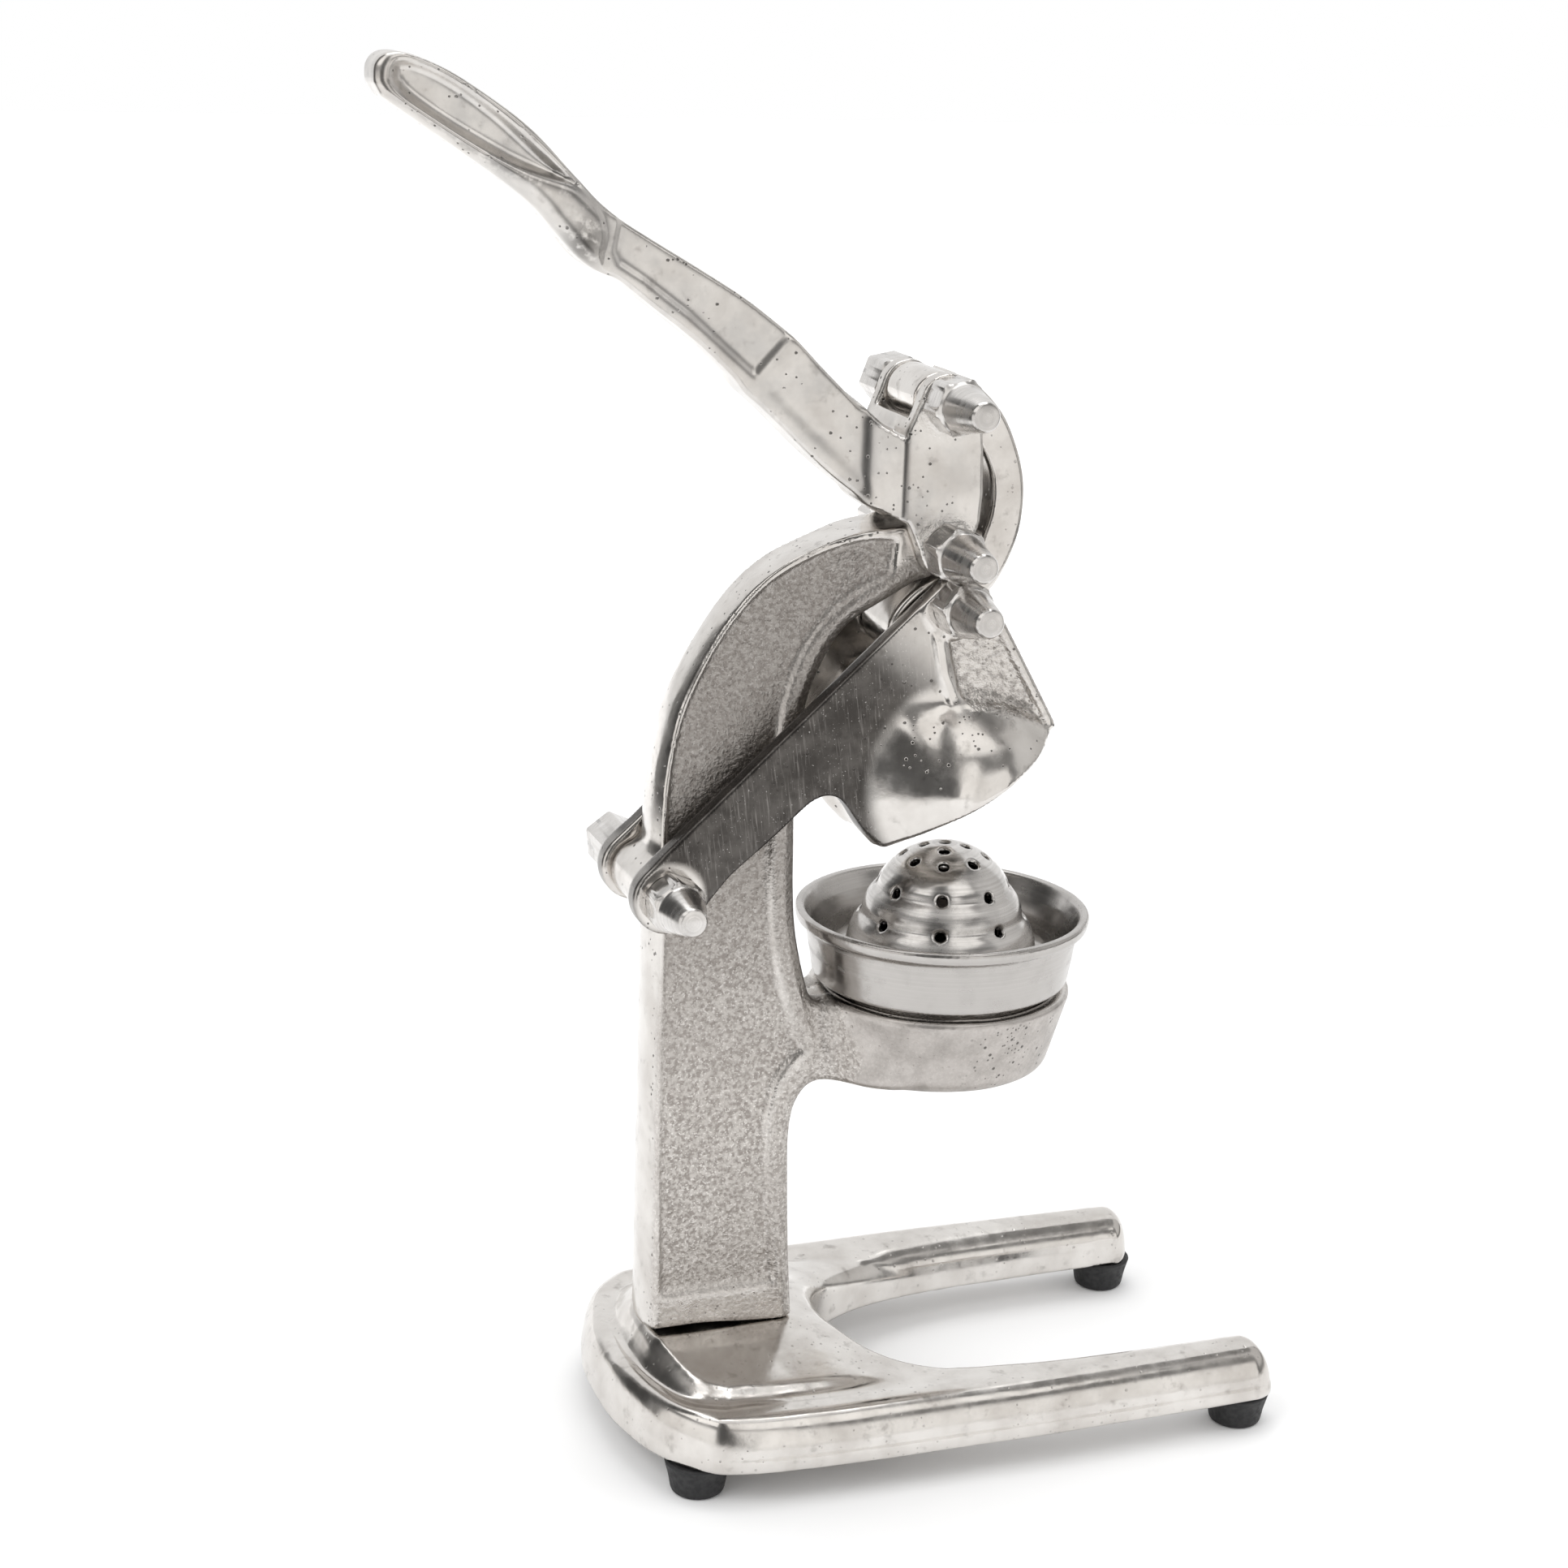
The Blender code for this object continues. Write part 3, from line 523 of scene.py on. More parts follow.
def press_field():
    grid = Grid("press_arm", 0.9)
    x, y, z, side = grid.axes
    sheet = region(x, z, plate_outline())
    nut_ring = disc(x, z, HEAD_PIVOT, 11.6)
    recess = -region(x, z, recess_outline())
    sunk = ease(recess, 0, 2.2) * ease(nut_ring, 0, 1.5)
    rib = line_distance(x, z, [(28, 296), (31.6, 279), (36, 268.6)], False)
    tail = disc(x, z, ARM_PIVOT, 12)
    outer = PLATE_OUT - 0.7 * ease(tail, 0, 3) * ease(nut_ring, -1, 2) - 2.4 * sunk
    outer = outer + 0.9 * (1 - ease(rib, 1.2, 3)) * ease(nut_ring, 0, 2)
    middle, half = (outer + PLATE_IN) / 2, (outer - PLATE_IN) / 2
    plates = slab(sheet, np.abs(side - middle) - half, 1)
    dx, dz = x - BELL_RIM[0], z - BELL_RIM[1]
    u = dx * math.cos(BELL_TILT) + dz * math.sin(BELL_TILT)
    w = -dx * math.sin(BELL_TILT) + dz * math.cos(BELL_TILT)
    radius = np.sqrt((u + 0.1 * np.clip(w, 0, 40)) ** 2 + y ** 2)
    bell = tabled(radius, w, bell_outline(0, -6))
    body = join(plates, bell, 3 + 11 * ease(-u, -6, 14))
    cavity = tabled(radius, w, bell_outline(BELL_WALL, -16))
    body = carve(body, cavity, 0.5)
    body = slab(body, -w, 1)
    body = drilled(body, x, z, HEAD_PIVOT, ARM_PIVOT)
    wavy = ease(recess, -1, 1.5) * ease(side, 10, 12)
    face = ease(side, 15.5, 16.5) * ease(bell, 4, 8) * ease(rib, 1.5, 3)
    fading = 1 - 0.85 * ease(x * 0.6 + z * 0.8, 226, 252)
    masks = {"wavy": wavy, "ground": face * fading * (1 - wavy) * ease(nut_ring, 0, 2)
             * ease(tail, -1, 1.5)}
    return grid, body + unevenness(grid, 0.08, 24, 7), masks


def grip_outline():
    """Side view of the handle and shaft."""
    lower = curve([(-156.6, 466.9), (-150, 462.6), (-130.2, 449.4), (-111, 436.2), (-101.2, 425.6),
                   (-95.2, 418.9), (-90.2, 415), (-86, 412.9), (-80.4, 410.6), (-70, 402.7), (-54.3, 390.9),
                   (-42, 379.6), (-37.6, 374.2), (-30, 367.6), (-10.7, 349.6), (1, 340.4), (10, 334.6),
                   (17, 331)])
    upper = curve([(17, 358.6), (7.6, 364.5), (-9, 380.3), (-19.2, 390.4), (-26.4, 396.4), (-40.9, 406.7),
                   (-68.6, 422.9), (-85, 433.4), (-95.8, 443.7), (-111.6, 459.2), (-132.2, 472.9),
                   (-146, 479), (-154.2, 479.9), (-158.4, 476.6), (-159, 471)])
    return lower + upper


def dish_outline():
    """The hollow in each side of the grip."""
    upper = [(-154.6, 475.6), (-151.8, 479), (-145, 478.8), (-133.2, 473.6), (-119.6, 464.2),
             (-108.4, 454.8), (-98.8, 446.6), (-87, 435), (-80, 428)]
    lower = [(-86, 430), (-96, 438.6), (-107, 441.8), (-117.6, 446.2), (-129.9, 452.8), (-142, 459.8),
             (-151, 466.4), (-155, 471.6)]
    return curve(upper + lower)


# The sunk fields of the shaft, open at its upper edge
SHAFT_PANEL = [(-80.6, 440), (-60, 430), (-30, 410), (-16, 396), (-24.6, 389.4), (-34.6, 378.4),
               (-42.7, 385.4), (-58.3, 398.9), (-73, 409.9), (-82.2, 415.6), (-84.2, 420)]
NECK_PANEL = [(-18, 392), (0, 380), (20, 366), (22, 333), (8.8, 337), (-1.8, 345.8), (-13.1, 355.9),
              (-25.9, 367.6), (-31.6, 374.4), (-30.4, 377.6)]


def roll_outline():
    """The thick lower side of the grip, which curls down at its heel."""
    upper = curve([(-160, 473.5), (-155.8, 469.8), (-141.9, 462.4), (-127.9, 454), (-113.6, 447.3),
                   (-102.1, 443.4), (-93.3, 439.6), (-87, 433), (-84.6, 425.4), (-86.2, 418), (-87.6, 408)])
    return upper + [(-120, 425), (-165, 455)]


def ear_outline():
    bottom = arc(HANDLE_PIVOT, 9.4, 196, 375)
    front = [(43, 330.5), (43.8, 340), (43.2, 354), (42, 364)]
    top = arc(LINK_PIVOT, 9.4, -10, 150)
    return bottom + front + top + [(15.2, 361.5), (15.2, 334.5), (18.6, 328.2)]


POCKET = [(12, 315), (70, 300), (70, 400), (8, 400), (8, 370.6), (16.8, 367), (21.4, 362.4), (21.4, 338),
          (20.4, 333.6), (12, 331)]


def lever_field():
    grid = Grid("lever", 0.85)
    x, _, z, side = grid.axes
    sheet = region(x, z, grip_outline())
    grip = ease(-x, 84, 96)
    rolled = region(x, z, roll_outline())
    roll = ease(-rolled, -0.4, 3.4)
    dish = ease(-region(x, z, dish_outline()), -0.6, 5)
    half = SHAFT_HALF - 0.6 + 1.8 * roll + 0.8 * grip * (1 - roll) - 3.8 * dish * (1 - roll) * grip
    half = half - 1.2 * ease(-region(x, z, SHAFT_PANEL), -0.3, 3)
    half = half - 0.6 * ease(-region(x, z, NECK_PANEL), -0.3, 5)
    radius = 1.4 + 1.2 * grip + 3.4 * roll
    body = slab(sheet, side - half, radius)
    ears = slab(region(x, z, ear_outline()), side - EAR_OUT + 0.5, 1.2)
    flare = (7.4 - x) * 0.83 + (side - SHAFT_HALF) * 0.55
    wedge = slab(np.maximum(sheet, flare), side - EAR_OUT + 0.5, 1)
    wedge = np.maximum(wedge, x - 24)
    rings = np.minimum(slab(disc(x, z, LINK_PIVOT, 9.2), side - EAR_OUT, 0.8),
                       slab(disc(x, z, HANDLE_PIVOT, 9.4), side - EAR_OUT, 0.8))
    body = join(body, wedge, 4.5)
    body = join(body, join(ears, rings, 1.2), 0.5)
    pocket = np.maximum(region(x, z, POCKET), side - EAR_IN)
    body = carve(body, pocket, 1.2)
    body = drilled(body, x, z, HANDLE_PIVOT, LINK_PIVOT)
    near_nut = np.minimum(disc(x, z, LINK_PIVOT, 9.5), disc(x, z, HANDLE_PIVOT, 9.5))
    # Painted shade: a dark line in the cove where the shaft flares into the ears, and a thin dark line along
    # the ears' rear edge.
    cove = 0.55 * np.exp(-((x - 4.6 + 0.9 * (side - SHAFT_HALF)) / 3.4) ** 2) * ease(side, 7.5, 9)
    arris = np.exp(-((x - 15.6) / 0.7) ** 2) * ease(side, 17, 19)
    heel = 0.8 * np.exp(-((x + 92.5) / 6.5) ** 2 - ((z - 423.5) / 8) ** 2) * ease(side, 5, 8)
    crest = 0.55 * np.exp(-((-rolled - 3.4) / 1.3) ** 2) * ease(side, 8, 9.5) * ease(-x, 90, 100)
    nut_ring = 0.8 * (1 - ease(np.abs(near_nut - 1), 0.5, 3.5)) * ease(side, 18, 20)
    masks = {"shade": np.clip(heel + crest, 0, 1), "wavy": nut_ring,
             "painted_crease_shade": np.clip(cove + arris, 0, 1) * ease(z, 330, 336) * ease(-x, -24, -18),
             "pitted": ease(-x, -46, -20) * 0.6 + 0.4}
    return grid, body + unevenness(grid, 0.08, 22, 11), masks


def turned_about(point, centre, degrees):
    """An (x, z) point turned about a pivot, positive as a hinge about +Y."""
    angle = math.radians(degrees)
    x, z = point[0] - centre[0], point[1] - centre[1]
    return (centre[0] + x * math.cos(angle) + z * math.sin(angle),
            centre[1] - x * math.sin(angle) + z * math.cos(angle))


def head_bolt_path(steps=24):
    """Where the head bolt runs in the link as the handle turns, with some room to spare."""
    ratios = {entry["joint"]: entry["ratio"] for entry in frame["record"]["behaviour"]["couplings"]}
    path = []
    for i in range(steps + 1):
        turn = SLOT_TRAVEL * i / steps
        bolt = turned_about(HEAD_PIVOT, ARM_PIVOT, ratios["press_swing"] * turn)
        bolt = turned_about(bolt, HANDLE_PIVOT, -turn)
        path.append(turned_about(bolt, LINK_PIVOT, -ratios["link_swing"] * turn))
    return path


def crescent_outline():
    outer = curve([(40.6, 297), (46, 300.6), (54, 309.4), (60, 322.5), (62, 336), (60, 350), (53.8, 364.4),
                   (45, 374.4), (36.6, 379.6)])
    inner = curve([(36, 361), (42.6, 357.6), (46.6, 352), (49.4, 345.4), (50.2, 338), (49.4, 331),
                   (47.4, 325), (44.6, 316), (41, 310), (35, 308)])
    return outer + inner


def link_field():
    grid = Grid("link", 0.8)
    x, _, z, side = grid.axes
    path = line_distance(x, z, head_bolt_path(), False)
    sheet = join(region(x, z, crescent_outline()), disc(x, z, LINK_PIVOT, 9.2), 1)
    sheet = join(sheet, path - SLOT_R - SLOT_WALL, 1.5)
    body = slab(sheet, side - LINK_HALF, 1.6)
    body = carve(body, path - SLOT_R, 0.4)
    body = drilled(body, x, z, LINK_PIVOT)
    masks = {"wavy": ease(-z, -352, -318) * ease(side, 10, 12.5)}
    return grid, body + unevenness(grid, 0.07, 20, 13), masks


def cup_profile():
    """The cup's wall, floor and dome as one closed (radius, height) outline."""
    low, floor = CUP_LOW_Z, CUP_LOW_Z + 14.4
    flange, rim, top = CUP_LOW_Z + 10.2, CUP_HIGH_Z - 23.9, CUP_HIGH_Z
    outside = [(38, low), (40.6, low), (40.8, low + 0.4), (40.8, flange), (44, flange),
               (45.2, flange + 0.5), (45.8, flange + 1.6), (48.5, rim - 6.6), (49.3, rim - 5.2),
               (51.4, rim - 4.6), (52, rim - 3.8), (52.4, rim - 0.9), (52, rim - 0.2), (51.4, rim),
               (50, rim), (49.2, rim - 0.5)]
    inside = [(46.6, rim - 6), (44.6, rim - 12), (43, floor + 3.4), (41.8, floor + 1.2), (39.8, floor),
              (36, floor), (34.8, floor + 0.5)]
    under = [(0, top - 3), (8, top - 3.8), (14, top - 6.8), (19, top - 13), (22.5, top - 19.6),
             (26, top - 28), (28.6, top - 36), (29.2, flange), (37.8, flange), (37.8, low + 0.3)]
    return outside + inside + dome_profile() + under


def dome_profile():
    """The outside of the strainer's three bulges, from the cup's floor to the top."""
    top = CUP_HIGH_Z
    lower = curve([(34.2, top - 43.6), (34.2, top - 40), (33.6, top - 35.6), (32.2, top - 30.8),
                   (30.4, top - 27.6), (29.2, top - 26.2)])
    middle = curve([(28.7, top - 25.4), (28.2, top - 22.8), (26.8, top - 19.6), (25, top - 17.2),
                    (24.2, top - 16.4)])
    upper = curve([(23.6, top - 15.6), (22.4, top - 12.6), (19.2, top - 8.4), (14.8, top - 4.6),
                   (9.6, top - 1.9), (4.6, top - 0.4), (0, top)])
    return lower + middle + upper


# The strainer's rings of holes: radius, count, bearing of the first in degrees, lean in radians
HOLE_RINGS = ((7.3, 4, -23.5, 0.15), (14.6, 8, 21.5, 0.5), (22.9, 8, 21.5, 0.9), (28.9, 8, 21.5, 1.1))
DRAIN_HOLE_R = 1.9


def cup_field():
    grid = Grid("strainer_cup", 0.85)
    x, y, z, _ = grid.axes
    radius = np.sqrt((x - CUP_X) ** 2 + y ** 2)
    body = tabled(radius, z, cup_profile())
    for place, direction in strainer_holes():
        offset = [axis - at for axis, at in zip(grid.axes, place)]
        along = sum(o * d for o, d in zip(offset, direction))
        away = np.sqrt(np.maximum(sum(o * o for o in offset) - along ** 2, 0))
        drill = np.maximum(away - DRAIN_HOLE_R, np.abs(along) - 7)
        body = carve(body, drill, 0.5)
    dome = tabled(radius, z, dome_profile() + [(-3, CUP_HIGH_Z), (-3, CUP_LOW_Z), (34.2, CUP_LOW_Z)])
    # Painted shade: the underside of the dome, seen through the drain holes, turns almost black. The outer
    # wall is painted darker than the dome.
    masks = {"inside": ease(-dome, 0.7, 1.6), "darker_outside": ease(radius, 36, 40)}
    return grid, body, masks


def strainer_holes():
    """Each drain hole's place and direction."""
    holes = [((CUP_X, 0, CUP_HIGH_Z), (0, 0, 1))]
    heights = (CUP_HIGH_Z - 1, CUP_HIGH_Z - 4.6, CUP_HIGH_Z - 14.8, CUP_HIGH_Z - 25.8)
    for (radius, count, start, lean), height in zip(HOLE_RINGS, heights):
        for i in range(count):
            angle = math.radians(start + 360 * i / count)
            place = (CUP_X + radius * math.cos(angle), radius * math.sin(angle), height)
            direction = (math.sin(lean) * math.cos(angle), math.sin(lean) * math.sin(angle), math.cos(lean))
            holes.append((place, direction))
    return holes


# ------------------------------------------------------------------------ hardware

SHARP = math.radians(28)  # edges of the turned pieces stay sharp beyond this angle


def mesh_object(node, bm, origin):
    """A node's piece from a bmesh in millimetres, with its origin on a point of its axis."""
    bmesh.ops.recalc_face_normals(bm, faces=bm.faces)
    bmesh.ops.translate(bm, vec=-Vector(origin), verts=bm.verts)
    bmesh.ops.scale(bm, vec=(MM, MM, MM), verts=bm.verts)
    mesh = bpy.data.meshes.new(f"{node}_look")
    bm.to_mesh(mesh)
    bm.free()
    mesh.shade_smooth()
    mesh.set_sharp_from_angle(angle=SHARP)
    obj = bpy.data.objects.new(f"{node}_look", mesh)
    obj.location = Vector(origin) * MM
    bpy.context.scene.collection.objects.link(obj)
    return obj


def turned(bm, profile, segments, place, squeeze=None):
    """Adds a closed (radius, height) profile turned about Z. squeeze sets a ring's radius by the angle."""
    rings = []
    for radius, height in profile:
        if radius < 1e-6:
            rings.append([bm.verts.new((0, 0, height))])
            continue
        ring = []
        for i in range(segments):
            angle = 2 * math.pi * i / segments
            r = radius if squeeze is None else squeeze(radius, height, angle)
            ring.append(bm.verts.new((r * math.cos(angle), r * math.sin(angle), height)))
        rings.append(ring)
    for lower, upper in zip(rings, rings[1:] + rings[:1]):
        for i in range(segments):
            j = (i + 1) % segments
            corners = [ring[k % len(ring)] for ring, k in ((lower, i), (lower, j), (upper, j), (upper, i))]
            face = list(dict.fromkeys(corners))
            if len(face) > 2:
                bm.faces.new(face)
    new = [v for ring in rings for v in ring]
    bmesh.ops.transform(bm, matrix=place, verts=new)


def across(x, z, spin=0.0):
    """Turns a lathe's Z axis to -Y and puts it on the point (x, z)."""
    turn = Matrix.Rotation(math.radians(90), 4, "X") @ Matrix.Rotation(math.radians(spin), 4, "Z")
    return Matrix.Translation((x, 0, z)) @ turn


def corner_radius(flat, softened):
    """How far a hexagon's corners are from its middle, once they are slightly rounded."""
    return flat / math.cos(math.pi / 6) - softened


def hexagonal(flat, corner):
    """Limits a ring's radius to a hexagon with slightly rounded corners, for turned()."""
    def squeeze(radius, height, angle):
        sector = (angle + math.pi / 6) % (math.pi / 3) - math.pi / 6
        return min(radius, flat / math.cos(sector), corner)
    return squeeze


NUT_CORNER = corner_radius(NUT_FLAT, 0.25)


def lying(node, pivot, profile, spin):
    """A hexagonal piece turned about a pivot's axis."""
    bm = bmesh.new()
    turned(bm, profile, 96, across(*pivot, spin), hexagonal(NUT_FLAT, NUT_CORNER))
    return mesh_object(node, bm, (pivot[0], 0, pivot[1]))


def standing(node, profile, segments, squeeze=None):
    """A piece turned about the upright axis of its node."""
    middle = middle_of(node)
    bm = bmesh.new()
    turned(bm, profile, segments, Matrix.Translation((middle.x, middle.y, 0)), squeeze)
    return mesh_object(node, bm, (middle.x, middle.y, 0))


def cap_nut(node, pivot, half_width, spin):
    """A closed nut: hexagon with turned chamfers, cone with faint turning steps, flat round end."""
    low = half_width + 0.3
    end = -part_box(node)[0].y / MM
    rim = NUT_CORNER + 0.3
    shell = [(BOLT_HOLE_R, low), (NUT_FLAT - 0.2, low), (rim, low + 1.1), (rim, low + 11.2),
             (NUT_CORNER - 0.9, low + 12.0), (8.4, low + 12.5)]
    cone = [(8.1, low + 12.9), (7.9, low + 14.0), (5.2, end - 1.5), (4.9, end - 0.7), (4.4, end - 0.15),
            (3.8, end), (0.0, end)]
    inside = [(0.0, half_width + 15.4), (BOLT_HOLE_R, half_width + 15.4)]
    return lying(node, pivot, shell + cone + inside, spin)


def pivot_bolt(node, pivot, half_width, length, spin):
    """Hexagonal head on the left with a domed end, then the shank."""
    low = -(half_width + length)
    neck = -(half_width + 0.3)
    rim = NUT_CORNER + 0.3
    head = [(0.0, low), (6.6, low), (8.2, low + 0.5), (rim, low + 1.6), (rim, neck - 1.2),
            (8.4, neck - 0.2), (7.8, neck), (5.0, neck)]
    shank = [(5.0, half_width + 14.0), (4.2, half_width + 15.0), (0.0, half_width + 15.0)]
    return lying(node, pivot, head + shank, spin)


def foot(node):
    low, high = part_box(node)
    top_z = high.z / MM
    top_r = (high.x - low.x) / MM / 2
    bottom_r = top_r - 2.6
    side = curve([(bottom_r - 2.2, 0.0), (bottom_r - 0.9, 0.35), (bottom_r - 0.1, 1.6), (top_r - 1.9, 6.0),
                  (top_r - 0.7, top_z - 1.6), (top_r - 0.5, top_z - 0.6), (top_r - 1.1, top_z)])
    bore = [(2.7, top_z), (2.7, 5), (4.6, 5), (4.6, 0.3)]
    return standing(node, [(4.9, 0)] + side + bore, 72)


def cross_cut(radius, height, angle):
    """Gives a screw's inner rings the outline of a cross, for turned()."""
    if radius > 2.3:
        return radius
    arm = 0.5 / max(min(abs(math.sin(angle)), abs(math.cos(angle))), 1e-3)
    return min(radius, arm)


def foot_screw(node):
    """A round head with a cross recess, and its shank."""
    low, top = heights_of(node)
    head = [(0.0, low + 1.5), (1.7, low + 1.4), (2.2, low), (2.9, low), (3.7, low + 0.4), (4.1, low + 1.2),
            (4.2, low + 2.4), (4.0, low + 3.0)]
    shank = [(2.35, low + 3.1), (2.31, top - 1.2), (2.31, top), (0.0, top)]
    return standing(node, head + shank, 80, cross_cut)


def column_bolt(node):
    low, top = heights_of(node)
    flat = 6.5
    corner = corner_radius(flat, 0.2)
    head = [(0.0, low), (5.4, low), (6.1, low + 0.2), (corner + 0.3, low + 1.2), (corner + 0.3, low + 4.7),
            (6.2, low + 5.3), (4.4, low + 5.3), (4.0, low + 5.7)]
    shank = [(4.0, top - 1.0), (3.2, top), (0.0, top)]
    return standing(node, head + shank, 96, hexagonal(flat, corner))


def column_washer(node):
    low, top = heights_of(node)
    profile = [(4.5, low), (8.1, low), (8.4, low + 0.3), (8.4, top - 0.3), (8.1, top), (4.5, top),
               (4.3, top - 0.2), (4.3, low + 0.2)]
    return standing(node, profile, 72)


# ----------------------------------------------------------------------- materials

class Shader:
    """A material's node tree, with short names for the steps that repeat."""

    def __init__(self, name):
        self.material = bpy.data.materials.new(name)
        self.material.use_nodes = True
        self.tree = self.material.node_tree
        self.surface = self.tree.nodes["Principled BSDF"]
        self.place = self.add("ShaderNodeTexCoord").outputs["Object"]

    def add(self, kind, inputs=None, **settings):
        node = self.tree.nodes.new(kind)
        for key, value in settings.items():
            setattr(node, key, value)
        for key, value in (inputs or {}).items():
            self.feed(node.inputs[key], value)
        return node

    def feed(self, socket, value):
        if isinstance(value, bpy.types.NodeSocket):
            self.tree.links.new(value, socket)
        else:
            socket.default_value = value

    def do(self, operation, *values):
        node = self.add("ShaderNodeMath", operation=operation)
        for socket, value in zip(node.inputs, values):
            self.feed(socket, value)
        return node.outputs[0]

    def plus(self, *values):
        total = values[0]
        for value in values[1:]:
            total = self.do("ADD", total, value)
        return total

    def times(self, a, b):
        return self.do("MULTIPLY", a, b)

    def spread(self, value, start, end, low=0.0, high=1.0):
        """Maps start..end to low..high, smoothly and clamped."""
        inputs = {"Value": value, "From Min": start, "From Max": end, "To Min": low, "To Max": high}
        return self.add("ShaderNodeMapRange", inputs, interpolation_type="SMOOTHSTEP").outputs[0]

    def noise(self, size_mm, detail=2.0, place=None):
        """Noise from 0 to 1 whose lumps are about size_mm across."""
        inputs = {"Vector": place or self.place, "Scale": 1 / (size_mm * MM), "Detail": detail,
                  "Roughness": 0.55}
        return self.add("ShaderNodeTexNoise", inputs).outputs["Fac"]

    def patches(self, size_mm, detail, *limits):
        """Smooth patches: noise mapped as in spread()."""
        return self.spread(self.noise(size_mm, detail), *limits)

    def stretched(self, stretch, turn_y=0.0):
        """Object coordinates squeezed along each axis after a turn about Y, so that noise forms streaks."""
        turn = {"Vector": self.place, "Rotation": (0, turn_y, 0)}
        turned_place = self.add("ShaderNodeMapping", turn).outputs[0]
        return self.add("ShaderNodeMapping", {"Vector": turned_place, "Scale": stretch}).outputs[0]

    def pits(self, size_mm, share, radius=0.16):
        """1 in small pores at random places, denser in some regions than in others."""
        cells = self.add("ShaderNodeTexVoronoi", {"Vector": self.place, "Scale": 1 / (size_mm * MM)})
        chance = self.add("ShaderNodeSeparateColor", {"Color": cells.outputs["Color"]}).outputs[0]
        region_share = self.patches(22.0, 1.0, 0.42, 0.72, 1 - share * 0.35, 1 - share * 2.2)
        chosen = self.do("GREATER_THAN", chance, region_share)
        hole = self.spread(cells.outputs["Distance"], radius * 0.5, radius, 1.0, 0.0)
        return self.times(chosen, hole)

    def mask(self, name):
        return self.add("ShaderNodeAttribute", attribute_name=name).outputs["Fac"]

    def blend(self, amount, a, b):
        """A number or a colour between a and b."""
        if any(isinstance(value, tuple) or getattr(value, "type", "") == "RGBA" for value in (a, b)):
            node = self.add("ShaderNodeMix", data_type="RGBA")
            self.feed(node.inputs[0], amount)
            self.feed(node.inputs[6], a if not isinstance(a, tuple) else (*a, 1.0))
            self.feed(node.inputs[7], b if not isinstance(b, tuple) else (*b, 1.0))
            return node.outputs[2]
        node = self.add("ShaderNodeMix", data_type="FLOAT")
        for socket, value in zip((node.inputs[0], node.inputs[2], node.inputs[3]), (amount, a, b)):
            self.feed(socket, value)
        return node.outputs[0]

    def finish(self, colour, metallic, roughness, height_mm, ring_axis=None):
        """Joins everything to the surface. height_mm is the relief in millimetres."""
        self.feed(self.surface.inputs["Base Color"], colour)
        self.surface.inputs["Metallic"].default_value = metallic
        self.feed(self.surface.inputs["Roughness"], roughness)
        bump = self.add("ShaderNodeBump", {"Height": height_mm, "Distance": MM, "Strength": 1.0})
        self.feed(self.surface.inputs["Normal"], bump.outputs[0])
        if ring_axis:
            self.surface.inputs["Anisotropic"].default_value = 0.4
            tangent = self.add("ShaderNodeTangent", direction_type="RADIAL", axis=ring_axis)
            self.feed(self.surface.inputs["Tangent"], tangent.outputs[0])
        return self.material


BRIGHT = (0.73, 0.705, 0.675)
WORN = (0.56, 0.53, 0.5)
DARK = (0.06, 0.055, 0.05)
STAIN = (0.3, 0.28, 0.26)


def polished_base(shader, pore_depth=1.0):
    """What all the hand polished castings share: tone, roughness, relief and pores."""
    tone = shader.patches(16.0, 5.0, 0.3, 0.8)
    pores = shader.plus(shader.pits(3.4, 0.2, 0.2), shader.pits(1.8, 0.14, 0.26))
    pores = shader.times(shader.do("MINIMUM", pores, 1.0), pore_depth)
    stains = shader.patches(6.0, 6.0, 0.56, 0.78, 0.0, 0.6)
    colour = shader.blend(stains, shader.blend(tone, BRIGHT, WORN), STAIN)
    colour = shader.blend(shader.times(pores, 0.85), colour, DARK)
    roughness = shader.patches(7.0, 5.0, 0.3, 0.75, 0.12, 0.25)
    waves = shader.times(shader.noise(13, 1.5), 0.2)
    skin = shader.times(shader.noise(1.1, 3), 0.01)
    relief = shader.plus(waves, skin, shader.times(pores, -0.12))
    return colour, roughness, relief


def polished_material():
    shader = Shader("polished_aluminium")
    colour, roughness, relief = polished_base(shader, 0.35)
    return shader.finish(colour, 1.0, roughness, relief)


def lever_material():
    shader = Shader("polished_lever")
    colour, roughness, relief = polished_base(shader)
    ripple = shader.times(shader.noise(2.4, 3), shader.times(shader.mask("wavy"), 0.5))
    pitted = shader.mask("pitted")
    grey = shader.times(shader.patches(14.0, 3.0, 0.4, 0.7), shader.times(pitted, 0.5))
    colour = shader.blend(grey, colour, (0.5, 0.49, 0.48))
    # Painted shade in the cove at the fork and along the ears' rear edge.
    colour = shader.blend(shader.times(shader.mask("painted_crease_shade"), 0.8), colour, DARK)
    broken = shader.patches(3.2, 5.0, 0.3, 0.55)
    colour = shader.blend(shader.times(shader.mask("shade"), broken), colour, DARK)
    roughness = shader.blend(pitted, roughness, 0.27)
    return shader.finish(colour, 1.0, roughness, shader.plus(relief, ripple))


